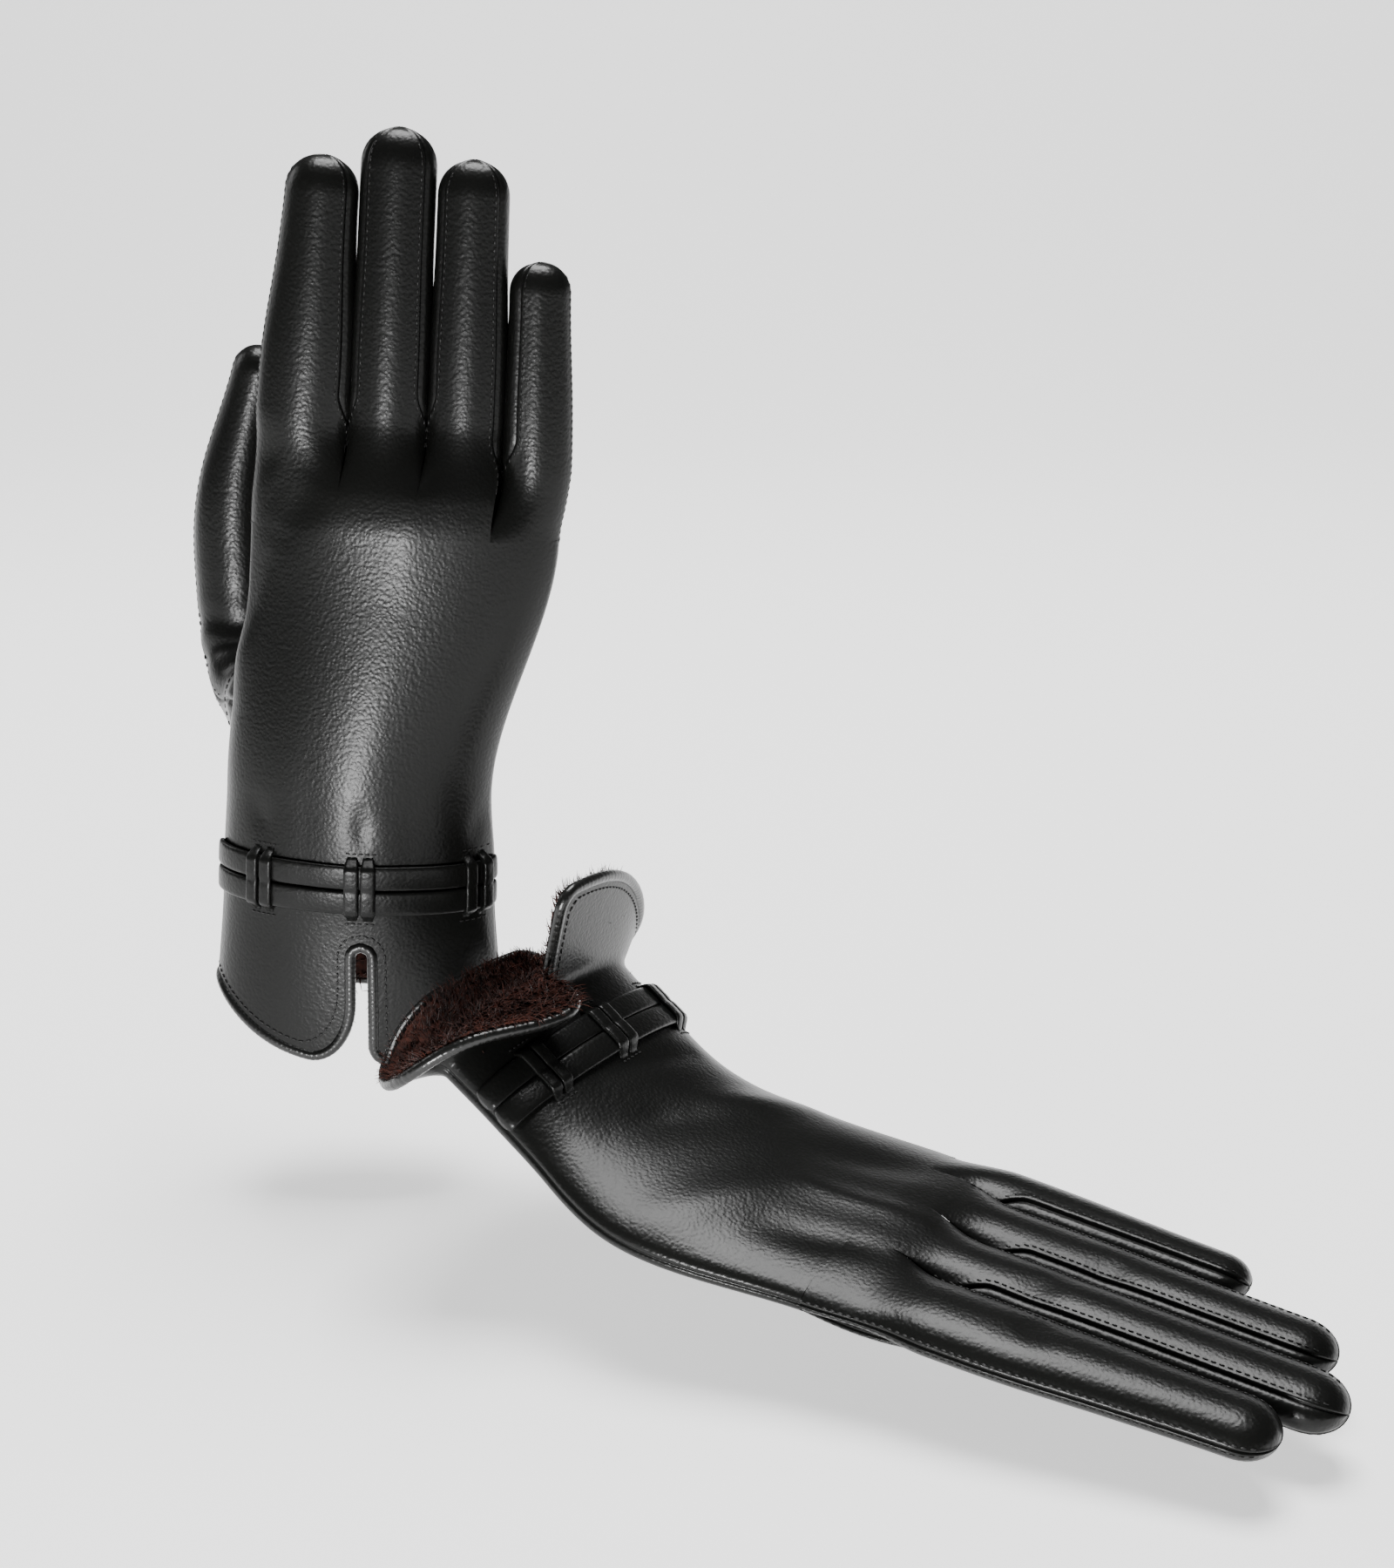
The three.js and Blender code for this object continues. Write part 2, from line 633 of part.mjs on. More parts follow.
  // -- thumb: a ring seat on the palm, then a tube that turns up along the hand
  thumbSeat() {
    const { thumb, handStretch } = this.fit;
    const at = THUMB.seatAt;
    const { centre, half, rise } = this.section(at);
    const angle = 2 * Math.PI - Math.acos(thumb.seat);
    const outward = new THREE.Vector2(Math.cos(angle) / half, Math.sin(angle) / rise).normalize();
    return {
      point: new THREE.Vector3(centre + half * Math.cos(angle), at * handStretch, rise * Math.sin(angle)),
      outward: new THREE.Vector3(outward.x, 0, outward.y),
    };
  }

  thumbPath() {
    const { thumb, handStretch, fingerStretch } = this.fit;
    const { point, outward } = this.thumbSeat();
    const start = point.clone().addScaledVector(outward, THUMB.lift);
    const tipAt = THUMB.seatAt * handStretch + (THUMB.tipAt - THUMB.seatAt) * lerp(1, fingerStretch, 0.3);
    const level = start.z - thumb.rise;
    const points = [
      start,
      start.clone().addScaledVector(outward, thumb.rise * 0.45),
      new THREE.Vector3(lerp(start.x, thumb.across, 0.75), start.y + 10, level + thumb.rise * 0.14),
      new THREE.Vector3(thumb.across, lerp(start.y, tipAt, 0.36), level),
      new THREE.Vector3(thumb.across, lerp(start.y, tipAt, 0.6), level),
      new THREE.Vector3(thumb.tipAcross, tipAt, level + 2),
    ];
    return new THREE.CatmullRomCurve3(points, false, 'centripetal');
  }

  // A point of the thumb: angle round its section, share of its length, depth below the leather's face.
  thumbPoint(path, angle, row, depth) {
    const { thumb, width } = this.fit;
    const spot = path.getPointAt(row.share);
    const forward = path.getTangentAt(row.share);
    const across = new THREE.Vector3(1, 0, 0).addScaledVector(forward, -forward.x).normalize();
    const out = new THREE.Vector3().crossVectors(across, forward);
    const settle = smoothstep(row.share, 0, 0.3);
    const narrowing = smoothstep(row.share, 0.45, 0.95);
    const swell = (full, tip) => lerp(lerp(THUMB.seatRadius, full / 2, settle), tip / 2, narrowing);
    const half = swell(THUMB.width * width, THUMB.tipWidth * width);
    const rise = swell(THUMB.depth, THUMB.tipDepth) * thumb.flat;
    const least = 0.2;
    spot.addScaledVector(across, Math.max(least, half * row.shrink - depth) * Math.cos(angle));
    spot.addScaledVector(out, Math.max(least, rise * row.shrink - depth) * Math.sin(angle));
    return this.placed(spot.x, spot.y, spot.z);
  }

  thumbRows(path) {
    const cap = THUMB.tipWidth / 2 / path.getLength();
    const straight = spread(0, 1, 6).map((share) => ({ share: share * (1 - cap), shrink: 1 }));
    const rounded = [35, 60, 74].map((degrees) => ({
      share: 1 - cap + cap * Math.sin(radians(degrees)),
      shrink: Math.cos(radians(degrees)),
    }));
    return [...straight, ...rounded];
  }

  thumbHole() {
    const { point, outward } = this.thumbSeat();
    const bar = new THREE.CylinderGeometry(THUMB.holeRadius, THUMB.holeRadius, THUMB.holeReach, 16);
    bar.scale(1, 1, this.fit.thumb.flat);
    const turn = new THREE.Quaternion().setFromUnitVectors(new THREE.Vector3(0, 1, 0), outward);
    return reshaped(bar, (p) => {
      const q = p.clone().applyQuaternion(turn).add(point);
      return this.placed(q.x, q.y, q.z).toArray();
    });
  }

  addThumb() {
    const name = `${this.fit.side}_thumb`;
    const path = this.thumbPath();
    const rows = this.thumbRows(path);
    const seam = SEAM_GAP / (THUMB.tipDepth * this.fit.thumb.flat);
    const shell = (from, to) => sheet(spread(0, 1, FINGER_COLUMNS), rows, (share, row, face) => {
      const narrow = seam / Math.max(row.shrink, LEAST_SHRINK);
      return this.thumbPoint(path, lerp(from + narrow, to - narrow, share), row, face ? 0 : LEATHER);
    });
    const outer = LEATHER + PLY_GAP;
    const inner = outer + LINING * Math.min(1, this.fit.thumb.flat * 1.4);
    const profile = [
      { row: rows[rows.length - 2], ply: outer, onAxis: true },
      ...rows.slice(0, -1).reverse().map((row) => ({ row, ply: outer })),
      ...rows.slice(0, -3).map((row) => ({ row, ply: inner })),
      { row: rows[rows.length - 4], ply: inner, onAxis: true },
    ];
    const lining = thimble(LINING_COLUMNS, profile, (angle, station) => {
      if (!station.onAxis) return this.thumbPoint(path, angle, station.row, station.ply);
      const axis = path.getPointAt(station.row.share);
      return this.placed(axis.x, axis.y, axis.z);
    });
    this.group.add(
      named(`${name}_outer`, shell(0, Math.PI), LEATHER_BLACK),
      named(`${name}_inner`, shell(Math.PI, 2 * Math.PI), LEATHER_BLACK),
      named(`${name}_lining`, lining, FUR_BROWN),
    );
  }

  build() {
    this.addHand();
    this.addBinding();
    this.addStraps();
    this.fingers.forEach((finger) => this.addFinger(finger));
    this.addThumb();
    return this.group;
  }
}

const group = new THREE.Group();
group.add(new Glove(STANDING).build(), new Glove(EMPTY).build());

export default group;
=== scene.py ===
import logging
import math
from collections.abc import Callable, Sequence
from dataclasses import dataclass, field
from enum import Enum

import bmesh
import bpy
import numpy as np
from mathutils import Matrix, Vector


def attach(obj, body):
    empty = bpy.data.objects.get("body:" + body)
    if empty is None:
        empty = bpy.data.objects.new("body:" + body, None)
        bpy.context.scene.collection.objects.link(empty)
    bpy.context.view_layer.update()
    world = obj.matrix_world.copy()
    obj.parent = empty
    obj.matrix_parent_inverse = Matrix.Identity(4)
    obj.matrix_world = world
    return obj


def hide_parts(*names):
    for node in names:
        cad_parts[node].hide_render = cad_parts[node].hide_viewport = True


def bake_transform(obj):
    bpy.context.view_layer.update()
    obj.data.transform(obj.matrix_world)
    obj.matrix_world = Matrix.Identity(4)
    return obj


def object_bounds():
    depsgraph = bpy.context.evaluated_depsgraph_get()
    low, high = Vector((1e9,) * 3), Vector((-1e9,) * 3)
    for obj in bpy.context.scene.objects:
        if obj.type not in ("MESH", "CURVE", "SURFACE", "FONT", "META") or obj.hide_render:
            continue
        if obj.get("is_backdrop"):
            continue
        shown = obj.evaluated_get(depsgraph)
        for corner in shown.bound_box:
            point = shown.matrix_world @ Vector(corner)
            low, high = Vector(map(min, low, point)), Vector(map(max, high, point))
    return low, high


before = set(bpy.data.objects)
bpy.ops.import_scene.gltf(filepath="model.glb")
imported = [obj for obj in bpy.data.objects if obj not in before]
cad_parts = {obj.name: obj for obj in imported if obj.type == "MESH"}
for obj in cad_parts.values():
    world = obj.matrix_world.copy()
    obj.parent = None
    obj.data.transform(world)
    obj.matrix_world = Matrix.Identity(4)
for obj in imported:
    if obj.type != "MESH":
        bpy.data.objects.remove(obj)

log = logging.getLogger("gloves")

MM = 0.001
Place = Callable[[np.ndarray, np.ndarray], np.ndarray]

# ---- Pattern sizes, in millimetres -----------------------------------------------------------
LEATHER = 1.1
PLY_GAP = 0.7
LINING = 1.8
HAND_LENGTH = 174.0
KNUCKLE_WIDTH = 84.4
KNUCKLE_EDGE = -31.5
FINGER_GAP = 0.8
FINGER_FULLNESS = 1.035  # the leather swells past the finger's own width
ROOT_FULLNESS = 1.075
BEND_REACH = 11.0  # how far each side of a finger's hinge two points are taken
THUMB_BEND_REACH = 9.0
THUMB_ROOT = 9.0  # how far the thumb's skin reaches inside the palm's
SPLIT_AT = 150.0  # the hand's panels end here and the fingers' strips begin
HEM_RISE = 17.0
HEM_PALM_RISE = 9.0
THENAR_AT = 108.0
THENAR_REACH = 30.0
PIPING = 2.9
VENT_LENGTH = 34.0
VENT_REACH = 2.0
VENT_ROUND_NEAR = (12.0, 17.0)  # across and along, the rounded corner on the thumb's side
VENT_ROUND_FAR = (4.0, 5.0)
STRAP_AT = 52.5
STRAP_WIDTH = 6.9
STRAP_THICKNESS = 1.7
STRAP_GAP = 0.5
KEEPER_THICKNESS = 1.3
FOLD_AT = 36.0
FOLD_RADIUS = 4.2
STITCH_PITCH = 2.1
STITCH_LIFT = 0.12
SEAM_INSET = 1.3
# Length, width and height of one stitch, in metres.
SEAM_STITCH = np.array([1.45, 0.5, 0.42]) * MM
HEM_STITCH = np.array([1.6, 0.6, 0.5]) * MM
KEEPER_STITCH = np.array([1.2, 0.5, 0.45]) * MM


# ---- Small sums --------------------------------------------------------------------------------
def smooth(value: np.ndarray | float, low: float, high: float) -> np.ndarray:
    """Smooth step from 0 at low to 1 at high.

    Args:
        value: Where to take it.
        low: Value that gives 0.
        high: Value that gives 1.

    Returns:
        The step, in the shape of value.
    """
    share = np.clip((np.asarray(value, float) - low) / (high - low), 0.0, 1.0)
    return share * share * (3.0 - 2.0 * share)


def mixed(first: np.ndarray | float, second: np.ndarray | float, share: np.ndarray | float) -> np.ndarray:
    """The value at a share of the way from first to second."""
    return first + (second - first) * share


def along(places: Sequence[float], values: Sequence[float], at: np.ndarray | float) -> np.ndarray:
    """Smooth value at a distance, between stations.

    Args:
        places: Distances of the stations, rising.
        values: A value at each station.
        at: Where to take the value.

    Returns:
        The values at those distances.
    """
    places, values, at = np.asarray(places, float), np.asarray(values, float), np.asarray(at, float)
    i = np.clip(np.searchsorted(places, at, side="right") - 1, 0, len(places) - 2)
    return mixed(values[i], values[i + 1], smooth((at - places[i]) / (places[i + 1] - places[i]), 0.0, 1.0))


def unit(vectors: np.ndarray) -> np.ndarray:
    """The vectors at length one."""
    return vectors / np.maximum(np.linalg.norm(vectors, axis=-1, keepdims=True), 1e-12)


def marks(start: float, stop: float, pitch: float, edge: Sequence[float] = ()) -> np.ndarray:
    """Even marks from start to stop about a pitch apart, with closer ones near both ends.

    Args:
        start: First mark.
        stop: Last mark.
        pitch: Distance between marks in the middle.
        edge: Distances from each end where a mark is added.

    Returns:
        The rising marks.
    """
    margin = (max(edge) + pitch * 0.6) if edge else 0.0
    count = max(2, round((stop - start - 2 * margin) / pitch))
    middle = np.linspace(start + margin, stop - margin, count + 1)
    near = np.array(edge, float)
    return np.unique(np.concatenate([[start, stop], middle, start + near, stop - near]).round(6))


# ---- The cut of one glove ---------------------------------------------------------------------
@dataclass(frozen=True)
class FingerCut:
    """One finger's sizes, in millimetres, on a filled glove."""

    name: str
    width: float
    tip_width: float
    depth: float
    length: float
    lean: float
    drop: float
    crotch_low: float | None
    crotch_high: float | None
    strip: float = 40.0


FINGERS = (
    FingerCut("index", 24.0, 18.6, 17.0, 73.5, 5.0, 0.0, 3.0, None),
    FingerCut("middle", 20.4, 19.6, 17.0, 81.5, 1.4, 0.0, 4.0, 3.0),
    FingerCut("ring", 20.0, 18.6, 16.0, 74.5, 0.0, 0.0, -6.5, 4.0),
    FingerCut("little", 17.6, 15.8, 14.5, 60.5, -1.5, 11.0, None, 4.5, 54.0),
)


@dataclass(frozen=True)
class ThumbCut:
    """The thumb's sizes, in millimetres: its round seat on the palm and the way it lies."""

    rise: float
    flat: float
    bulge: float
    tip_across: float
    seat: float
    seat_at: float = 98.0
    seat_radius: float = 12.5
    width: float = 24.0
    depth: float = 20.0
    tip_width: float = 15.0
    tip_depth: float = 15.0
    tip_at: float = 194.5
    lift: float = 1.2
    gusset: float = 1.3


@dataclass(frozen=True)
class Fold:
    """A soft ridge (or a dent, with a negative height) in the leather, from one point to another."""

    start: tuple[float, float]
    end: tuple[float, float]
    width: float
    height: float

    def lift(self, across: np.ndarray, at: np.ndarray) -> np.ndarray:
        """Height of the fold at points of the pattern."""
        a, b = np.array(self.start), np.array(self.end)
        run = b - a
        share = ((across - a[0]) * run[0] + (at - a[1]) * run[1]) / max(float(run @ run), 1e-9)
        held = np.clip(share, 0.0, 1.0)
        away = np.hypot(across - a[0] - held * run[0], at - a[1] - held * run[1])
        return self.height * np.exp(-((away / self.width) ** 2)) * (0.45 + 0.55 * np.sin(math.pi * held))


@dataclass(frozen=True)
class Fit:
    """How one glove of the pair is filled and stretched."""

    side: str
    width: float
    hand_depth: float
    finger_depth: float
    hand_stretch: float
    finger_stretch: float
    thumb: ThumbCut
    back_folds: tuple[Fold, ...] = ()
    lapel_turn: float = 0.0
    far_turn: float = 0.0
    vent_at: float = 2.6
    thenar: float = 0.0


class Lie:
    """Where a glove's own frame (across, along, out to the back) sits in the pair's frame."""

    def place(self, across: np.ndarray, at: np.ndarray, out: np.ndarray) -> np.ndarray:
        """Points in the pair's frame, in metres."""
        raise NotImplementedError


@dataclass(frozen=True)
class Standing(Lie):
    """Upright on the cuff, back to -Y, leaning a little towards +X."""

    lean: float = 3.6

    def place(self, across: np.ndarray, at: np.ndarray, out: np.ndarray) -> np.ndarray:
        """Points in the pair's frame, in metres."""
        lean = math.radians(self.lean)
        x = across * math.cos(lean) + at * math.sin(lean)
        z = at * math.cos(lean) - across * math.sin(lean)
        return np.stack(np.broadcast_arrays(x, -out, z), axis=-1) * MM


@dataclass(frozen=True)
class Lying(Lie):
    """Back up along a spine that falls from the propped cuff to the fingers."""

    start: tuple[float, float, float] = (34.0, -28.0, 44.0)
    stations: tuple[float, ...] = (0.0, 50.0, 105.0, 150.0)
    headings: tuple[float, ...] = (-30.0, -32.0, -36.0, -31.0)
    falls: tuple[float, ...] = (42.0, 34.0, 13.0, 6.0)
    step: float = 2.0
    reach: float = 300.0

    def place(self, across: np.ndarray, at: np.ndarray, out: np.ndarray) -> np.ndarray:
        """Points in the pair's frame, in metres."""
        across, at, out = np.broadcast_arrays(across, at, out)
        knots = np.arange(-20.0, self.reach, self.step)
        runs = self._run(knots + self.step / 2) * self.step
        spots = np.concatenate([np.zeros((1, 3)), np.cumsum(runs, axis=0)[:-1]])
        origin = np.array([np.interp(0.0, knots, spots[:, k]) for k in range(3)])
        spine = [np.interp(at, knots, spots[:, k]) - origin[k] + self.start[k] for k in range(3)]
        heading = np.radians(along(self.stations, self.headings, at))
        fall = np.radians(along(self.stations, self.falls, at))
        back = (np.cos(heading) * np.sin(fall), np.sin(heading) * np.sin(fall), np.cos(fall))
        sideways = (-np.sin(heading), np.cos(heading), 0.0)
        return np.stack([spine[k] + across * sideways[k] + out * back[k] for k in range(3)], axis=-1) * MM

    def _run(self, at: np.ndarray) -> np.ndarray:
        """Direction of the lying glove's length at a distance from the hem."""
        heading = np.radians(along(self.stations, self.headings, at))
        fall = np.radians(along(self.stations, self.falls, at))
        flat = np.cos(fall)
        return np.stack([np.cos(heading) * flat, np.sin(heading) * flat, -np.sin(fall)], axis=-1)


@dataclass(frozen=True)
class LaidFinger:
    """A finger's cut laid on the hand: its hinge, direction and sizes, in millimetres."""

    cut: FingerCut
    centre: float
    hinge: float
    length: float
    tilt: float
    half: float
    tip_half: float
    rise: float
    mid: float
    reach: float


class Pattern:
    """One glove's surfaces: every method takes pattern places and gives points in metres."""

    stations = (0.0, STRAP_AT, 76.0, 150.0, HAND_LENGTH)
    centres = (-0.5, -1.5, -2.0, 9.0, KNUCKLE_EDGE + KNUCKLE_WIDTH / 2)
    widths = (83.0, 76.5, 74.0, 84.0, KNUCKLE_WIDTH)
    depths = (42.0, 40.0, 38.0, 29.0, 23.0)

    def __init__(self, fit: Fit, lie: Lie) -> None:
        """Lays the cut on one hand's fit and place."""
        self.fit = fit
        self.lie = lie
        self.fingers = self._laid_fingers()

    def spot(self, across: float, at: float, out: float = 0.0) -> np.ndarray:
        """One point of the glove's own frame, in metres of the pair's frame."""
        return self.lie.place(np.array(across), np.array(at), np.array(out))

    def section(self, at: np.ndarray | float) -> tuple[np.ndarray, np.ndarray, np.ndarray]:
        """Centre, half width and half depth of the hand's oval at a distance from the hem."""
        centre = along(self.stations, self.centres, at)
        half = along(self.stations, self.widths, at) / 2 * self.fit.width
        rise = along(self.stations, self.depths, at) / 2 * self.fit.hand_depth
        return centre, half, rise

    def angle_at(self, across: np.ndarray | float, at: np.ndarray | float) -> np.ndarray:
        """Angle round the section of a point on the back."""
        centre, half, _ = self.section(at)
        return np.arccos(np.clip((across - centre) / half, -1.0, 1.0))

    def hem(self, angle: np.ndarray) -> np.ndarray:
        """How far the hem climbs at an angle round the section."""
        sideways = np.abs(np.cos(angle)) ** 2.6
        base = np.where(np.sin(angle) < 0, HEM_PALM_RISE * np.minimum(1.0, -2 * np.sin(angle)), 0.0)
        return mixed(base, HEM_RISE, sideways)

    def turn(self, angle: np.ndarray) -> np.ndarray:
        """How far the cuff is turned out at an angle round the section, in radians."""
        turns = np.mod(angle / (2 * math.pi), 1.0)
        vent = float(self.angle_at(self.fit.vent_at, 0.0)) / (2 * math.pi)
        lapel = self.fit.lapel_turn * (1 - smooth(turns, 0.35, 0.68))
        far = self.fit.far_turn * smooth(turns, 0.84, 1.0)
        return np.radians(np.where(turns < vent, self.fit.far_turn, np.where(turns < 0.68, lapel, far)))

    def widened(self, thumbwards: np.ndarray, at: np.ndarray) -> np.ndarray:
        """How far a tucked thumb pushes its side of the hand out, at a share towards that side."""
        swell = np.exp(-(((at - THENAR_AT) / THENAR_REACH) ** 2))
        return self.fit.thenar * swell * smooth(thumbwards, 0.0, 1.0)

    def relief(self, across: np.ndarray, at: np.ndarray, on_back: np.ndarray) -> np.ndarray:
        """Height of the folds and dents, which only the back has."""
        back = sum((fold.lift(across, at) for fold in self.fit.back_folds), np.zeros_like(across))
        return np.where(on_back, back, np.zeros_like(across))

    def hand(self, angle: np.ndarray, at: np.ndarray, lift: np.ndarray | float = 0.0) -> np.ndarray:
        """A point of the hand: angle round the section, distance from the hem, height over the leather."""
        angle, at, lift = np.broadcast_arrays(np.asarray(angle, float), np.asarray(at, float), lift)
        turn = self.turn(angle)
        beyond = np.where(turn > 0, np.maximum(0.0, FOLD_AT - at), 0.0)
        centre, half, rise = self.section(np.where(beyond > 0, FOLD_AT, at))
        folds = self.relief(centre + half * np.cos(angle), at, np.sin(angle) >= 0)
        height = lift + folds * smooth(at, FOLD_AT - 8.0, FOLD_AT + 14.0)
        middle = FOLD_RADIUS + (LEATHER + PLY_GAP + LINING) / 2
        bend = np.minimum(beyond / middle, turn)
        straight = beyond - bend * middle
        shift = -self.widened(-np.cos(angle), at)
        over = FOLD_RADIUS - (FOLD_RADIUS - lift) * np.cos(bend) + straight * np.sin(bend)
        back_at = FOLD_AT - (FOLD_RADIUS - lift) * np.sin(bend) - straight * np.cos(bend)
        height = np.where(beyond > 0, over, height)
        place = np.where(beyond > 0, back_at, at)
        out = unit(np.stack([np.cos(angle) / half, np.sin(angle) / rise], axis=-1))
        inner = np.minimum(lift, 0.0)
        return self.lie.place(
            centre + (half + inner) * np.cos(angle) + out[..., 0] * (height - inner) + shift,
            place * self.fit.hand_stretch,
            (rise + inner) * np.sin(angle) + out[..., 1] * (height - inner),
        )

    def _laid_fingers(self) -> tuple[LaidFinger, ...]:
        """The finger cuts laid side by side on the hand."""
        middle = KNUCKLE_EDGE + KNUCKLE_WIDTH / 2
        half_width = KNUCKLE_WIDTH / 2
        laid: list[LaidFinger] = []
        edge = KNUCKLE_EDGE
        for cut in FINGERS:
            centre = edge + cut.width / 2
            low = (edge - middle - FINGER_GAP / 2) / half_width
            high = (edge + cut.width - middle + FINGER_GAP / 2) / half_width
            low, high = max(low, -1.0), min(high, 1.0)
            edge += cut.width + FINGER_GAP
            length = cut.length * self.fit.finger_stretch
            laid.append(LaidFinger(
                cut=cut,
                centre=middle + (centre - middle) * self.fit.width,
                hinge=(HAND_LENGTH - cut.drop) * self.fit.hand_stretch,
                length=length,
                tilt=math.asin(cut.lean * self.fit.width / length),
                half=cut.width / 2 * self.fit.width,
                tip_half=cut.tip_width / 2 * self.fit.width,
                rise=cut.depth / 2 * self.fit.finger_depth,
                mid=(low + high) / 2,
                reach=(high - low) / 2,
            ))
        return tuple(laid)

    def strip_angle(self, finger: LaidFinger, crotch: float | None, run: np.ndarray) -> np.ndarray:
        """Half of the side strip's angle, seen from the finger's axis, at a distance past the hinge."""
        if crotch is None:
            return np.zeros_like(run)
        return math.radians(finger.cut.strip) * smooth(run, crotch - 4.0, crotch + 10.0)

    def finger(self, laid: LaidFinger, theta: np.ndarray, run: np.ndarray, lift: np.ndarray | float,
               face: float) -> np.ndarray:
        """A point of a finger: angle round it, distance past its hinge and height over the leather.

        Args:
            laid: The finger.
            theta: Angle round the finger, 0 towards the little finger's side.
            run: Distance past the hinge, below zero on the hand.
            lift: Height over the leather's face.
            face: 1 on the back, -1 on the palm, 0 on a side strip.

        Returns:
            The points, in metres.
        """
        theta, run, lift = np.broadcast_arrays(theta, run, lift)
        cap = laid.tip_half * 1.02
        straight = laid.length - cap
        swell = smooth(run / straight, 0.2, 1.05)
        tip = np.clip((run - straight) / cap, 0.0, 1.0)
        shrink = np.sqrt(np.maximum(1.0 - tip ** 2.2, 0.0))
        half = mixed(laid.half, laid.tip_half, swell) * shrink * self._fullness(run)
        rise = mixed(laid.rise, laid.rise * 0.92, swell) * shrink
        apart = mixed(0.0, 1.0, smooth(run, max(-14.0, SPLIT_AT * self.fit.hand_stretch - laid.hinge), 6.0))
        place = laid.hinge + run
        centre, hand_half, hand_rise = self.section(place / self.fit.hand_stretch)
        level = np.clip(laid.mid + laid.reach * np.cos(theta), -1.0, 1.0)
        arc = np.sqrt(np.maximum(1.0 - level ** 2, 0.0))
        upright = face if face else np.clip(np.sin(theta) / 0.6, -1.0, 1.0)
        normal_hand = unit(np.stack([level / hand_half, upright * arc / hand_rise], axis=-1))
        normal_tube = unit(np.stack([np.cos(theta) / laid.half, np.sin(theta) / laid.rise], axis=-1))
        normal = unit(mixed(normal_hand, normal_tube, apart[..., None]))
        tube_across = half * np.cos(theta)
        across = mixed(
            centre + hand_half * level - self.widened(-level, place / self.fit.hand_stretch),
            laid.centre + run * math.sin(laid.tilt) + tube_across * math.cos(laid.tilt),
            apart,
        )
        tube_ahead = laid.hinge + run * math.cos(laid.tilt) - tube_across * math.sin(laid.tilt)
        ahead = mixed(place, tube_ahead, apart)
        out = mixed(hand_rise * arc * upright, rise * np.sin(theta), apart)
        folds = self.relief(across, ahead / self.fit.hand_stretch, out >= 0)
        height = lift + folds
        ahead = ahead + height * np.clip(tip * 1.2, 0.0, 1.0) * (1.0 - shrink)
        return self.lie.place(across + normal[..., 0] * height, ahead, out + normal[..., 1] * height)

    @staticmethod
    def _fullness(run: np.ndarray) -> np.ndarray:
        """How far a finger swells past its own width: most just past the crotches."""
        root = mixed(1.0, ROOT_FULLNESS, smooth(run, -4.0, 8.0))
        return mixed(root, FINGER_FULLNESS, smooth(run, 22.0, 50.0))

    def seat(self) -> tuple[np.ndarray, np.ndarray]:
        """The thumb's seat on the palm and the way it faces, in the glove's own frame."""
        thumb = self.fit.thumb
        centre, half, rise = self.section(thumb.seat_at)
        angle = 2 * math.pi - math.acos(thumb.seat)
        facing = unit(np.array([math.cos(angle) / half, 0.0, math.sin(angle) / rise]))
        spot = np.array([
            centre + half * math.cos(angle),
            thumb.seat_at * self.fit.hand_stretch,
            rise * math.sin(angle),
        ])
        return spot, facing

    def thumb_spine(self) -> np.ndarray:
        """Many points along the thumb's middle, evenly spaced, in the glove's own frame."""
        thumb = self.fit.thumb
        spot, facing = self.seat()
        start = spot + facing * thumb.lift
        root = thumb.seat_at * self.fit.hand_stretch
        tip_at = root + (thumb.tip_at - thumb.seat_at) * mixed(1.0, self.fit.finger_stretch, 0.3)
        level = start[2] - thumb.rise
        points = [
            start,
            start + facing * thumb.rise * 0.45,
            np.array([mixed(start[0], thumb.bulge, 0.75), start[1] + 10.0, level + thumb.rise * 0.14]),
            np.array([thumb.bulge, mixed(start[1], tip_at, 0.36), level]),
            np.array([thumb.bulge, mixed(start[1], tip_at, 0.6), level]),
            np.array([thumb.tip_across, tip_at, level + 2.0]),
        ]
        return even(curved(points, 40), 400)

    def thumb(self, theta: np.ndarray, share: np.ndarray, lift: np.ndarray | float) -> np.ndarray:
        """A point of the thumb: angle round it, share of its length and height over the leather."""
        theta, share, lift = np.broadcast_arrays(theta, share, lift)
        cut = self.fit.thumb
        spine = self.thumb_spine()
        forward = unit(np.gradient(spine, axis=0))
        marks_along = np.linspace(0.0, 1.0, len(spine))
        spot = np.stack([np.interp(share, marks_along, spine[:, k]) for k in range(3)], axis=-1)
        ahead = unit(np.stack([np.interp(share, marks_along, forward[:, k]) for k in range(3)], axis=-1))
        sideways = unit(np.array([1.0, 0.0, 0.0]) - ahead * ahead[..., 0:1])
        outward = np.cross(sideways, ahead)
        length = float(np.linalg.norm(np.diff(spine, axis=0), axis=1).sum())
        cap = cut.tip_width / 2 / length
        tip = np.clip((share - 1.0 + cap) / cap, 0.0, 1.0)
        shrink = np.sqrt(np.maximum(1.0 - tip ** 2.2, 0.0))
        settle = smooth(share, 0.0, 0.3)
        narrowing = smooth(share, 0.45, 0.95)
        flare = 1.0 + 0.16 * (1.0 - smooth(share, 0.0, 0.07))
        half = mixed(mixed(cut.seat_radius, cut.width / 2 * self.fit.width, settle),
                     cut.tip_width / 2 * self.fit.width, narrowing) * shrink * flare
        rise = mixed(mixed(cut.seat_radius * cut.flat, cut.depth / 2 * cut.flat, settle),
                     cut.tip_depth / 2 * cut.flat, narrowing) * shrink * flare
        heel = np.maximum(0.0, -np.sin(theta)) ** 1.5 * (1.0 - smooth(share, 0.0, 0.34))
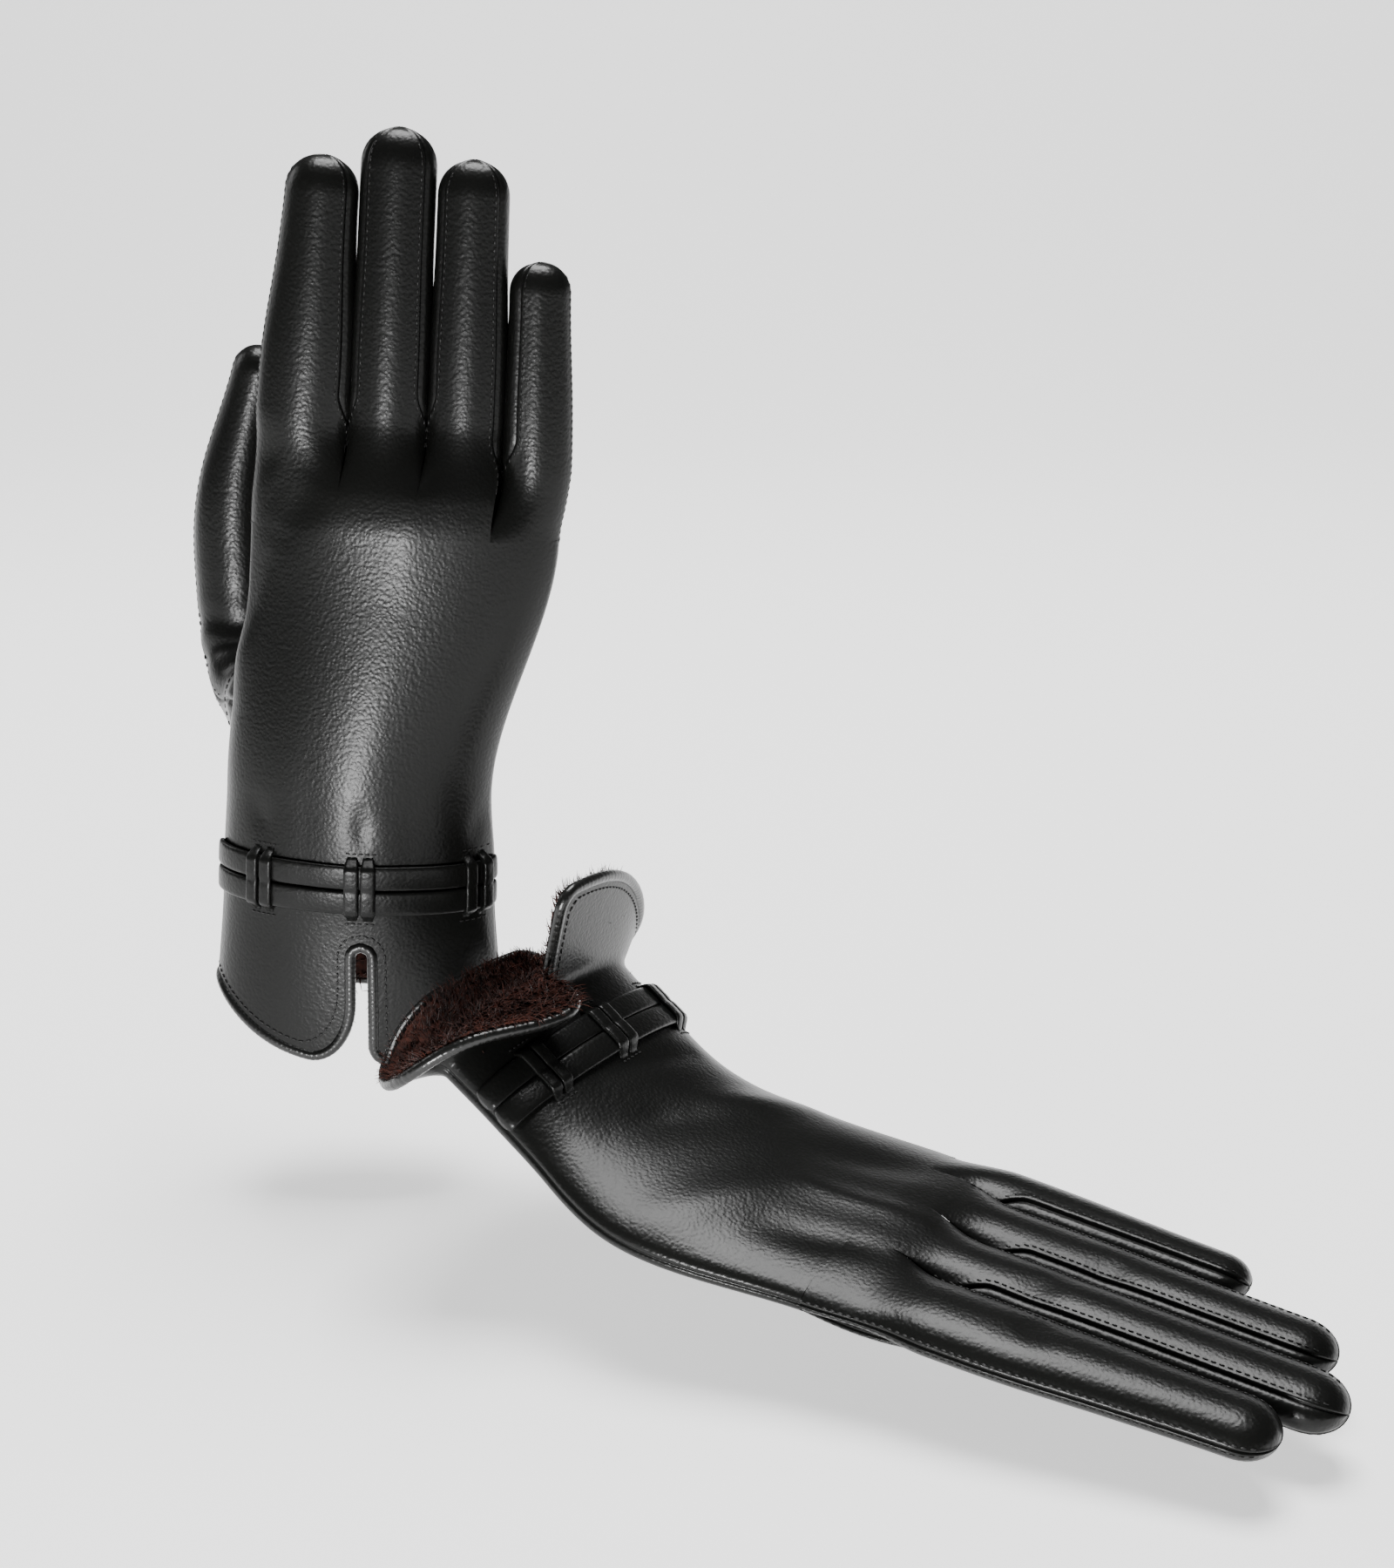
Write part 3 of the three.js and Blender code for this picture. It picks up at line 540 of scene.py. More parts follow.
        rise = rise * (1.0 + cut.gusset * heel)
        normal = unit(np.stack([np.cos(theta) / (half + 0.3), np.sin(theta) / (rise + 0.3)], axis=-1))
        sunk = lift - 1.4 * (1.0 - smooth(share, 0.0, 0.03))
        facing = self.seat()[1]
        spot = spot - facing * (THUMB_ROOT * (1.0 - smooth(share, 0.0, 0.1)))[..., None]
        spot = spot + sideways * (half * np.cos(theta) + normal[..., 0] * sunk)[..., None]
        spot = spot + outward * (rise * np.sin(theta) + normal[..., 1] * sunk)[..., None]
        return self.lie.place(spot[..., 0], spot[..., 1], spot[..., 2])

    def vent_edge(self, at: np.ndarray, near: bool, inset: float = 0.0) -> np.ndarray:
        """Across place of one side of the cuff's notch at a distance from the hem.

        Args:
            at: Distance from the hem.
            near: True for the thumb side's edge, whose corner at the hem is rounder.
            inset: How far into the leather from the cut edge.

        Returns:
            The across places.
        """
        radius = VENT_REACH + inset
        crown = VENT_LENGTH + inset
        arch = np.sqrt(np.clip(1.0 - (np.maximum(at - (crown - radius), 0.0) / radius) ** 2, 0.0, 1.0))
        wide, tall = VENT_ROUND_NEAR if near else VENT_ROUND_FAR
        below = np.clip(1.0 - (at - inset) / tall, 0.0, 1.0)
        corner = wide * (1.0 - np.sqrt(1.0 - below ** 2))
        return self.fit.vent_at + (radius + corner) * arch * (-1.0 if near else 1.0)


def curved(points: Sequence[np.ndarray], steps: int) -> np.ndarray:
    """A centripetal curve through points.

    Args:
        points: The points it passes.
        steps: Points on each stretch.

    Returns:
        The curve's points.
    """
    knots = [2 * points[0] - points[1], *points, 2 * points[-1] - points[-2]]
    result = []
    for a, b, c, d in zip(knots, knots[1:], knots[2:], knots[3:]):
        t0 = 0.0
        t1 = t0 + math.sqrt(float(np.linalg.norm(b - a)))
        t2 = t1 + math.sqrt(float(np.linalg.norm(c - b)))
        t3 = t2 + math.sqrt(float(np.linalg.norm(d - c)))
        t = np.linspace(t1, t2, steps, endpoint=False)[:, None]
        ab = (t1 - t) / (t1 - t0) * a + (t - t0) / (t1 - t0) * b
        bc = (t2 - t) / (t2 - t1) * b + (t - t1) / (t2 - t1) * c
        cd = (t3 - t) / (t3 - t2) * c + (t - t2) / (t3 - t2) * d
        abc = (t2 - t) / (t2 - t0) * ab + (t - t0) / (t2 - t0) * bc
        bcd = (t3 - t) / (t3 - t1) * bc + (t - t1) / (t3 - t1) * cd
        result.append((t2 - t) / (t2 - t1) * abc + (t - t1) / (t2 - t1) * bcd)
    return np.concatenate([*result, np.asarray(points[-1])[None]])


def even(points: np.ndarray, count: int) -> np.ndarray:
    """The same line with evenly spaced points."""
    length = np.concatenate([[0.0], np.cumsum(np.linalg.norm(np.diff(points, axis=0), axis=1))])
    wanted = np.linspace(0.0, length[-1], count)
    return np.stack([np.interp(wanted, length, points[:, k]) for k in range(points.shape[1])], axis=-1)


# ---- Meshes --------------------------------------------------------------------------------------
def new_object(name: str, mesh: bpy.types.Mesh) -> bpy.types.Object:
    """An object for a mesh, linked into the scene, smooth shaded."""
    for polygon in mesh.polygons:
        polygon.use_smooth = True
    piece = bpy.data.objects.new(name.replace(" ", "_"), mesh)
    bpy.context.scene.collection.objects.link(piece)
    log.info("%s: %d faces", name, len(mesh.polygons))
    return piece


def laid_grid(bm: bmesh.types.BMesh, columns: np.ndarray, rows: np.ndarray, place: Place) -> list:
    """A grid whose columns and rows are laid where place says.

    Args:
        bm: The mesh that takes it.
        columns: Values across.
        rows: Values along.
        place: Gives points for arrays of column and row values.

    Returns:
        The new faces.
    """
    across, ahead = len(columns) - 1, len(rows) - 1
    before = set(bm.faces)
    made = bmesh.ops.create_grid(bm, x_segments=across, y_segments=ahead, size=1.0)
    u = np.array([round((v.co.x + 1) / 2 * across) for v in made["verts"]])
    w = np.array([round((v.co.y + 1) / 2 * ahead) for v in made["verts"]])
    spots = place(np.asarray(columns)[u], np.asarray(rows)[w])
    for vertex, spot in zip(made["verts"], spots):
        vertex.co = spot
    return [face for face in bm.faces if face not in before]


def leather_object(name: str, bm: bmesh.types.BMesh, thickness: float, inward: np.ndarray | None = None,
                   merge: float = 2e-5) -> bpy.types.Object:
    """Closes a leather skin into a ply with thickness.

    Args:
        name: The piece's name.
        bm: Its outer face.
        thickness: Ply thickness in millimetres.
        inward: A point the skin turns its inner face to, for open skins.
        merge: Distance at which corners are merged, in metres.

    Returns:
        The piece.
    """
    bmesh.ops.remove_doubles(bm, verts=bm.verts, dist=merge)
    bmesh.ops.recalc_face_normals(bm, faces=bm.faces)
    if inward is not None:
        side = sum((face.calc_center_median() - _vector(inward)).dot(face.normal) * face.calc_area()
                   for face in bm.faces)
        if side < 0:
            bmesh.ops.reverse_faces(bm, faces=bm.faces)
    if thickness:
        bmesh.ops.solidify(bm, geom=bm.faces[:], thickness=thickness * MM)
        bmesh.ops.recalc_face_normals(bm, faces=bm.faces)
    mesh = bpy.data.meshes.new(name)
    bm.to_mesh(mesh)
    bm.free()
    return new_object(name, mesh)


def _vector(point: np.ndarray) -> Vector:
    """A point as one of Blender's vectors."""
    return Matrix.Translation(tuple(float(v) for v in point)).to_translation()


def tube(name: str, path: np.ndarray, radius: float, sides: int, ripple: float = 0.0) -> bpy.types.Object:
    """A closed ring of rolled leather along a path.

    Args:
        name: The piece's name.
        path: Points in metres; the last joins the first.
        radius: In metres.
        sides: Faces round it.
        ripple: How much its radius swells and shrinks along it, as a share.

    Returns:
        The piece.
    """
    count = len(path)
    forward = unit(np.roll(path, -1, axis=0) - np.roll(path, 1, axis=0))
    middle = path.mean(axis=0)
    first = unit(np.cross(forward, path - middle))
    second = np.cross(forward, first)
    swell = 1.0 + ripple * np.sin(np.arange(count) * 2.1) * np.sin(np.arange(count) * 0.37 + 1.0)
    bm = bmesh.new()

    def place(column: np.ndarray, row: np.ndarray) -> np.ndarray:
        """A point of the rolled ring."""
        index = row.astype(int) % count
        angle = column / sides * 2 * math.pi
        reach = radius * swell[index]
        ring = first[index] * np.cos(angle)[:, None] + second[index] * np.sin(angle)[:, None]
        return path[index] + ring * reach[:, None]

    laid_grid(bm, np.arange(sides + 1), np.arange(count + 1), place)
    return leather_object(name, bm, 0.0, merge=1e-6)


@dataclass
class Scatter:
    """Copies of one small shape set along a line or over a surface, joined into one piece."""

    spots: list[np.ndarray] = field(default_factory=list)
    bases: list[np.ndarray] = field(default_factory=list)

    def add(self, spots: np.ndarray, forward: np.ndarray, up: np.ndarray, size: np.ndarray) -> None:
        """Adds copies at spots, their X along forward, their Z near up, scaled by size (x, y, z)."""
        forward = unit(forward)
        sideways = unit(np.cross(up, forward))
        upward = np.cross(forward, sideways)
        size = np.broadcast_to(size, spots.shape)
        basis = np.stack([forward, sideways, upward], axis=-1) * size[:, None, :]
        self.spots.append(spots)
        self.bases.append(basis)

    def build(self, name: str, template: bmesh.types.BMesh) -> bpy.types.Object:
        """One object with all the copies."""
        template.verts.ensure_lookup_table()
        shape = np.array([v.co[:] for v in template.verts])
        faces = [[v.index for v in f.verts] for f in template.faces]
        template.free()
        spots, bases = np.concatenate(self.spots), np.concatenate(self.bases)
        points = np.einsum("nij,vj->nvi", bases, shape) + spots[:, None, :]
        total = len(spots) * len(shape)
        offsets = np.arange(len(spots)) * len(shape)
        mesh = bpy.data.meshes.new(name)
        mesh.from_pydata(points.reshape(total, 3).tolist(), [],
                         [[v + o for v in face] for o in offsets.tolist() for face in faces])
        mesh.update()
        return new_object(name, mesh)


def stitch_shape() -> bmesh.types.BMesh:
    """One stitch: a plump bead of thread, a unit long."""
    bm = bmesh.new()
    bmesh.ops.create_uvsphere(bm, u_segments=6, v_segments=4, radius=0.5)
    bmesh.ops.rotate(bm, verts=bm.verts, matrix=Matrix.Rotation(math.pi / 2, 3, "Y"))
    return bm


def hair_shape() -> bmesh.types.BMesh:
    """One lock of fur along X: three-sided, tapering, curling over at its end."""
    bm = bmesh.new()
    bmesh.ops.create_cone(bm, segments=3, radius1=0.5, radius2=0.06, depth=1.0, cap_ends=False)
    bmesh.ops.translate(bm, verts=bm.verts, vec=(0.0, 0.0, 0.5))
    for cut in (0.4, 0.75):
        bmesh.ops.bisect_plane(bm, geom=bm.verts[:] + bm.edges[:] + bm.faces[:],
                               plane_co=(0.0, 0.0, cut), plane_no=(0.0, 0.0, 1.0))
    bmesh.ops.rotate(bm, verts=bm.verts, matrix=Matrix.Rotation(math.pi / 2, 3, "Y"))
    for vertex in bm.verts:
        vertex.co.z -= 3.2 * vertex.co.x ** 2
    return bm


# ---- Finishes -------------------------------------------------------------------------------------
class Coat(Enum):
    """The record's finish slots."""

    LEATHER = "leather"
    PIPING = "piping"
    FUR = "fur"


class Nodes:
    """Short hand for building a material's nodes."""

    def __init__(self, name: str) -> None:
        """Starts a material of a name."""
        self.material = bpy.data.materials.new(name)
        self.material.use_nodes = True
        self.tree = self.material.node_tree
        self.surface = self.tree.nodes["Principled BSDF"]
        self.place = self.tree.nodes.new("ShaderNodeTexCoord").outputs["Object"]

    def node(self, kind: str, inputs: dict | None = None, **settings: object) -> bpy.types.Node:
        """A node with settings and inputs, each input a constant or another node's output."""
        made = self.tree.nodes.new(kind)
        for key, value in settings.items():
            setattr(made, key, value)
        for key, value in (inputs or {}).items():
            self.feed(made.inputs[key], value)
        return made

    def feed(self, socket: bpy.types.NodeSocket, value: object) -> None:
        """Sets or links one input."""
        if isinstance(value, bpy.types.NodeSocket):
            self.tree.links.new(value, socket)
        else:
            socket.default_value = value

    def noise(self, scale: float, detail: float = 2.0, roughness: float = 0.5,
              vector: bpy.types.NodeSocket | None = None) -> bpy.types.NodeSocket:
        """Noise over the object's own coordinates."""
        inputs = {"Vector": vector or self.place, "Scale": scale, "Detail": detail, "Roughness": roughness}
        return self.node("ShaderNodeTexNoise", inputs).outputs["Fac"]

    def span(self, value: bpy.types.NodeSocket, low: float, high: float,
             start: float = 0.3, stop: float = 0.7) -> bpy.types.NodeSocket:
        """Maps start..stop of a value to low..high."""
        inputs = {"Value": value, "From Min": start, "From Max": stop, "To Min": low, "To Max": high}
        return self.node("ShaderNodeMapRange", inputs).outputs["Result"]

    def mix(self, share: object, first: tuple, second: tuple) -> bpy.types.NodeSocket:
        """Mixes two colours."""
        made = self.node("ShaderNodeMix", data_type="RGBA")
        self.feed(made.inputs["Factor"], share)
        self.feed(made.inputs["A"], first)
        self.feed(made.inputs["B"], second)
        return made.outputs["Result"]

    def bump(self, height: bpy.types.NodeSocket, strength: object, distance: float,
             normal: bpy.types.NodeSocket | None = None) -> bpy.types.NodeSocket:
        """A bump, on top of another one if given."""
        inputs = {"Height": height, "Strength": strength, "Distance": distance}
        if normal is not None:
            inputs["Normal"] = normal
        return self.node("ShaderNodeBump", inputs).outputs["Normal"]

    def done(self, **surface: object) -> bpy.types.Material:
        """Feeds the surface's inputs, named with underscores for spaces."""
        for key, value in surface.items():
            self.feed(self.surface.inputs[key.replace("_", " ")], value)
        return self.material


@dataclass(frozen=True)
class NappaLeather:
    """Black nappa: a fine pebble grain, soft creases and a semi-gloss that varies."""

    name: str = "black nappa"
    dark: tuple = (0.0026, 0.0027, 0.0025, 1.0)
    worn: tuple = (0.0058, 0.0060, 0.0055, 1.0)
    grain: float = 0.9
    rough: tuple[float, float] = (0.27, 0.35)
    grain_depth: float = 0.00006
    coat: float = 0.0
    shine: float = 0.2

    def material(self) -> bpy.types.Material:
        """The material."""
        n = Nodes(self.name)
        sway = n.node("ShaderNodeTexNoise", {"Vector": n.place, "Scale": 420.0, "Detail": 1.0})
        shifted = n.node("ShaderNodeVectorMath", {"Scale": 0.0007}, operation="SCALE")
        n.feed(shifted.inputs[0], sway.outputs["Color"])
        spot = n.node("ShaderNodeVectorMath", operation="ADD")
        n.feed(spot.inputs[0], n.place)
        n.feed(spot.inputs[1], shifted.outputs["Vector"])
        cells = {"Vector": spot.outputs["Vector"], "Scale": 1000 / self.grain}
        pebble = n.node("ShaderNodeTexVoronoi", cells, feature="SMOOTH_F1")
        dome = n.span(pebble.outputs["Distance"], 1.0, 0.0, 0.15, 0.75)
        patch = n.noise(22.0, 3.0)
        creased = n.span(n.noise(45.0, 2.0), 0.0, 0.4, 0.5, 0.72)
        crease = n.noise(190.0, 4.0, 0.6)
        pore = n.noise(3200.0, 2.0)
        first = n.bump(crease, creased, 0.00009)
        second = n.bump(dome, 0.75, self.grain_depth, first)
        third = n.bump(pore, 0.35, 0.00003, second)
        return n.done(
            Base_Color=n.mix(n.span(patch, 0.0, 1.0), self.dark, self.worn),
            Roughness=n.span(patch, self.rough[1], self.rough[0]),
            Coat_Weight=self.coat,
            Coat_Roughness=0.32,
            Specular_IOR_Level=self.shine,
            IOR=1.5,
            Normal=third,
        )


@dataclass(frozen=True)
class Thread:
    """Waxed black sewing thread."""

    name: str = "waxed thread"

    def material(self) -> bpy.types.Material:
        """The material."""
        n = Nodes(self.name)
        twist = n.noise(2600.0, 1.0)
        return n.done(Base_Color=(0.008, 0.008, 0.0078, 1.0), Roughness=0.42, Specular_IOR_Level=0.3,
                      Normal=n.bump(twist, 0.4, 0.00004))


@dataclass(frozen=True)
class Fur:
    """Dense reddish-brown fur, lighter at some tips."""

    name: str = "brown fur"
    deep: tuple = (0.014, 0.0036, 0.0022, 1.0)
    tip: tuple = (0.066, 0.018, 0.011, 1.0)

    def material(self) -> bpy.types.Material:
        """The material."""
        n = Nodes(self.name)
        locks = n.noise(620.0, 2.0)
        drift = n.noise(90.0, 2.0)
        shade = n.mix(n.span(locks, 0.0, 1.0, 0.35, 0.65), self.deep, self.tip)
        deepened = n.node("ShaderNodeMix", data_type="RGBA", blend_type="MULTIPLY")
        n.feed(deepened.inputs["Factor"], n.span(drift, 0.1, 0.8))
        n.feed(deepened.inputs["A"], shade)
        n.feed(deepened.inputs["B"], (0.5, 0.45, 0.42, 1.0))
        return n.done(Base_Color=deepened.outputs["Result"], Roughness=0.7, Sheen_Weight=0.08,
                      Sheen_Roughness=0.45, Specular_IOR_Level=0.12)


@dataclass
class Wardrobe:
    """The finishes, each made once."""

    leather: bpy.types.Material
    piping: bpy.types.Material
    thread: bpy.types.Material
    fur: bpy.types.Material

    @classmethod
    def open(cls) -> "Wardrobe":
        """Makes the materials."""
        piping = NappaLeather("glossy piping", grain=0.7, rough=(0.24, 0.36), grain_depth=0.00005, coat=0.25,
                              shine=0.35)
        return cls(NappaLeather().material(), piping.material(), Thread().material(), Fur().material())

    def put(self, piece: bpy.types.Object, material: bpy.types.Material, coat: Coat) -> None:
        """Dresses a piece."""
        piece.data.materials.append(material)


# ---- Sub-assemblies ---------------------------------------------------------------------------------
@dataclass
class SubAssembly:
    """A group of pieces of one glove, cut from its pattern."""

    pattern: Pattern
    pieces: dict[str, bpy.types.Object] = field(default_factory=dict, init=False)

    @property
    def side(self) -> str:
        """right or left."""
        return self.pattern.fit.side

    @property
    def hand(self) -> str:
        """The body of this glove's hand."""
        return f"{self.side}_hand"

    def build(self) -> None:
        """Makes the pieces."""
        raise NotImplementedError

    def dress(self, wardrobe: Wardrobe) -> None:
        """Puts the finishes on: thread on the stitches and leather on the rest."""
        for name, piece in self.pieces.items():
            wardrobe.put(piece, wardrobe.thread if name == "stitches" else wardrobe.leather, Coat.LEATHER)


@dataclass
class HandShell(SubAssembly):
    """The leather of the hand from the hem to the knuckles, and the lining behind it."""

    pitch: float = 1.6
    half_girth: float = 48.0

    def _sink(self, angle: np.ndarray, at: np.ndarray) -> np.ndarray:
        """The leather dips into the side seams."""
        _, _, rise = self.pattern.section(at)
        away = np.minimum(np.abs(np.sin(angle)) * rise, 60.0)
        puff = 0.22 * np.exp(-(((away - 2.2) / 1.4) ** 2))
        return puff - 0.55 * np.exp(-((away / 0.55) ** 2))

    def _rows(self, stop: float) -> np.ndarray:
        """Rows of a panel: 0 to 1 along the notch, 1 to 2 above it."""
        lower = marks(0.0, 1.0, self.pitch / VENT_LENGTH, (0.03,))
        upper = 1.0 + marks(0.0, 1.0, self.pitch / (stop - VENT_LENGTH))
        return np.unique(np.concatenate([lower, upper]))

    def _at(self, angle: np.ndarray, row: np.ndarray, start: float) -> np.ndarray:
        """Distance from the hem of a row at an angle."""
        bottom = self.pattern.hem(angle) + start
        top = VENT_LENGTH + 1.0
        return np.where(row < 1, mixed(bottom, top, row), mixed(top, SPLIT_AT, row - 1))

    def back(self, bm: bmesh.types.BMesh, depth: float, start: float, inset: float) -> None:
        """The back's skin at a depth below the face, as two halves that meet above the notch."""
        for near in (False, True):
            def place(column: np.ndarray, row: np.ndarray, near: bool = near) -> np.ndarray:
                """A point of one half of the back's skin."""
                outer = math.pi if near else 0.0
                rough_at = np.where(row < 1, row * VENT_LENGTH, VENT_LENGTH + 20)
                cut = self.pattern.vent_edge(rough_at, near, inset)
                inner = self.pattern.angle_at(cut, rough_at * 0.0 + 20.0)
                angle = mixed(outer, inner, column)
                at = self._at(angle, row, start)
                return self.pattern.hand(angle, at, self._sink(angle, at) - depth)
            columns = marks(0.0, 1.0, self.pitch / self.half_girth, (0.006, 0.014, 0.025, 0.04))
            laid_grid(bm, columns, self._rows(SPLIT_AT), place)

    def palm(self, bm: bmesh.types.BMesh, depth: float, start: float) -> None:
        """The palm's skin at a depth below the face."""
        def place(column: np.ndarray, row: np.ndarray) -> np.ndarray:
            """A point of the palm's skin."""
            angle = math.pi * (1.0 + column)
            at = self._at(angle, row, start)
            return self.pattern.hand(angle, at, self._sink(angle, at) - depth)
        columns = marks(0.0, 1.0, self.pitch / (2 * self.half_girth), (0.003, 0.007, 0.0125, 0.02))
        laid_grid(bm, columns, self._rows(SPLIT_AT), place)

    def build(self) -> None:
        """Makes the panels and the lining."""
        core = self.pattern.spot(0.0, 90.0)
        for name, skin in (("back", self.back), ("palm", self.palm)):
            bm = bmesh.new()
            args = (0.0, PIPING * 0.5, PIPING * 0.4) if name == "back" else (0.0, PIPING * 0.5)
            skin(bm, *args)
            panel = leather_object(f"{self.side} {name} leather", bm, 0.0, core)
            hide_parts(f"{self.side}_{name}_panel")
            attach(panel, self.hand)
            self.pieces[name] = panel
            bm = bmesh.new()
            inner = LEATHER + PLY_GAP * 0.6
            args = (inner, PIPING * 0.8, PIPING * 0.7) if name == "back" else (inner, PIPING * 0.8)
            skin(bm, *args)
            lining = leather_object(f"{self.side} {name} lining", bm, LINING * 0.6, core)
            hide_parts(f"{self.side}_lining_{name}")
            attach(lining, self.hand)
            self.pieces[f"{name} lining"] = lining

    def dress(self, wardrobe: Wardrobe) -> None:
        """Puts the finishes on."""
        for name, piece in self.pieces.items():
            fur = "lining" in name
            wardrobe.put(piece, wardrobe.fur if fur else wardrobe.leather, Coat.FUR if fur else Coat.LEATHER)


@dataclass
class FingerShell(SubAssembly):
    """One finger: back, palm and side strips that meet in grooved seams, with stitches beside them."""

    laid: LaidFinger
    pitch: float = 1.3
    strip_sink: float = 0.12
    seam_opening: tuple[float, float] = (7.0, 2.0)

    @property
    def _start(self) -> float:
        """Where the hand's panels end, as a distance past the hinge."""
        return SPLIT_AT * self.pattern.fit.hand_stretch - self.laid.hinge

    def _runs(self, start: float) -> np.ndarray:
        """Distances past the hinge of a finger's rows, closer together round its tip."""
        cap = self.laid.tip_half * 1.02
        straight = self.laid.length - cap
        lower = marks(start, straight, self.pitch)
        turns = np.linspace(0.0, math.pi / 2, 12)[1:]
        return np.concatenate([lower, straight + cap * np.sin(turns)])

    def _bounds(self, run: np.ndarray, face: int) -> tuple[np.ndarray, np.ndarray]:
        """Angles where a back (1) or palm (-1) strip starts and ends."""
        low = self.pattern.strip_angle(self.laid, self.laid.cut.crotch_low, run)
        high = self.pattern.strip_angle(self.laid, self.laid.cut.crotch_high, run)
        if face > 0:
            return low, math.pi - high
        return math.pi + high, 2 * math.pi - low

    def _groove(self, away: np.ndarray, open_seam: np.ndarray) -> np.ndarray:
        """Height of the leather near a seam: a dip at the edge and a slight roll beside it."""
        dip = 0.5 * np.exp(-((away / 0.5) ** 2))
        roll = 0.2 * np.exp(-(((away - 1.5) / 0.9) ** 2))
        return (roll - dip) * open_seam

    def _sewn(self, run: np.ndarray, crotch: float) -> np.ndarray:
        """How far a seam is formed, from 0 on the hand to 1 past the crotch."""
        return smooth(run, crotch - self.seam_opening[0], crotch - self.seam_opening[1])

    def strip(self, face: int) -> bpy.types.Object:
        """The back (1) or palm (-1) strip of the finger."""
        laid = self.laid
        width = laid.half * 2.6

        def place(column: np.ndarray, run: np.ndarray) -> np.ndarray:
            """A point of the strip's leather."""
            start, stop = self._bounds(run, face)
            theta = mixed(start, stop, column)
            low_first = face > 0
            first = self.laid.cut.crotch_low if low_first else self.laid.cut.crotch_high
            last = self.laid.cut.crotch_high if low_first else self.laid.cut.crotch_low
            edge = np.zeros_like(run)
            for crotch, away in ((first, column * width), (last, (1 - column) * width)):
                if crotch is None:
                    sewn = np.ones_like(run)
                else:
                    sewn = self._sewn(run, crotch)
                edge = edge + self._groove(away, sewn)
            return self.pattern.finger(laid, theta, run, edge, float(face))

        bm = bmesh.new()
        columns = marks(0.0, 1.0, self.pitch / width, (0.25 / width, 0.6 / width, 1.0 / width, 1.6 / width))
        laid_grid(bm, columns, self._runs(self._start), place)
        name = "back" if face > 0 else "palm"
        core = self.pattern.spot(laid.centre, laid.hinge + laid.length / 2)
        return leather_object(f"{self.side} {laid.cut.name} {name}", bm, 0.0, core)

    def side_strip(self, crotch: float, towards: float) -> bpy.types.Object:
        """The strip between back and palm on one side: towards 0 (little finger's side) or pi."""
        laid = self.laid

        def place(column: np.ndarray, run: np.ndarray) -> np.ndarray:
            """A point of the side strip's leather."""
            reach = self.pattern.strip_angle(laid, crotch, run)
            theta = towards + (2 * column - 1) * reach
            away = np.minimum(column, 1 - column) * 2 * reach * laid.rise
            edge = self._groove(away, self._sewn(run, crotch)) - self.strip_sink
            return self.pattern.finger(laid, theta, run, edge, 0.0)

        bm = bmesh.new()
        laid_grid(bm, marks(0.0, 1.0, 0.12, (0.04,)), self._runs(crotch - 5.8), place)
        core = self.pattern.spot(laid.centre, laid.hinge + laid.length / 2)
        where = "outer" if towards == 0.0 else "inner"
        return leather_object(f"{self.side} {laid.cut.name} {where} fourchette", bm, 0.0, core)

    def stitches(self) -> bpy.types.Object:
        """Fine stitches along every seam, on the back and on the palm."""
        laid = self.laid
        sewn = Scatter()
        for face in (1, -1):
            for first in (True, False):
                crotch = laid.cut.crotch_low if first == (face > 0) else laid.cut.crotch_high
                start = self._start if crotch is None else crotch - 4.0
                stop = laid.length - laid.tip_half * 0.45
                count = int((stop - start) / (STITCH_PITCH * 0.92))
                run = np.linspace(start, stop, count)
                low, high = self._bounds(run, face)
                edge, inward = (low, 1.0) if first else (high, -1.0)
                theta = edge + inward * SEAM_INSET / laid.rise
                spots = self.pattern.finger(laid, theta, run, STITCH_LIFT, float(face))
                over = self.pattern.finger(laid, theta, run, STITCH_LIFT + 1.0, float(face))
                ahead = self.pattern.finger(laid, theta, run + 0.5, STITCH_LIFT, float(face)) - spots
                sewn.add(spots, ahead, over - spots, SEAM_STITCH)
        return sewn.build(f"{self.side} {laid.cut.name} stitches", stitch_shape())

    def build(self) -> None:
        """Makes the strips and stitches."""
        laid, name = self.laid, self.laid.cut.name
        node = f"{self.side}_{name}"
        self.pieces["back"] = self.strip(1)
        self.pieces["palm"] = self.strip(-1)
        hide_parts(f"{node}_back", f"{node}_lining")
        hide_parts(f"{node}_palm")
        sides = [(laid.cut.crotch_low, 0.0), (laid.cut.crotch_high, math.pi)]
        for crotch, towards in sides:
            if crotch is None:
                continue
            strip = self.side_strip(crotch, towards)
            self.pieces[f"side {towards:.0f}"] = strip
            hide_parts(f"{node}_fourchette")
        self.pieces["stitches"] = self.stitches()
        start = self.pattern.spot(laid.centre, laid.hinge - BEND_REACH)
        end = self.pattern.spot(laid.centre, laid.hinge + BEND_REACH)
        for piece in self.pieces.values():
            self.hand
            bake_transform(piece)


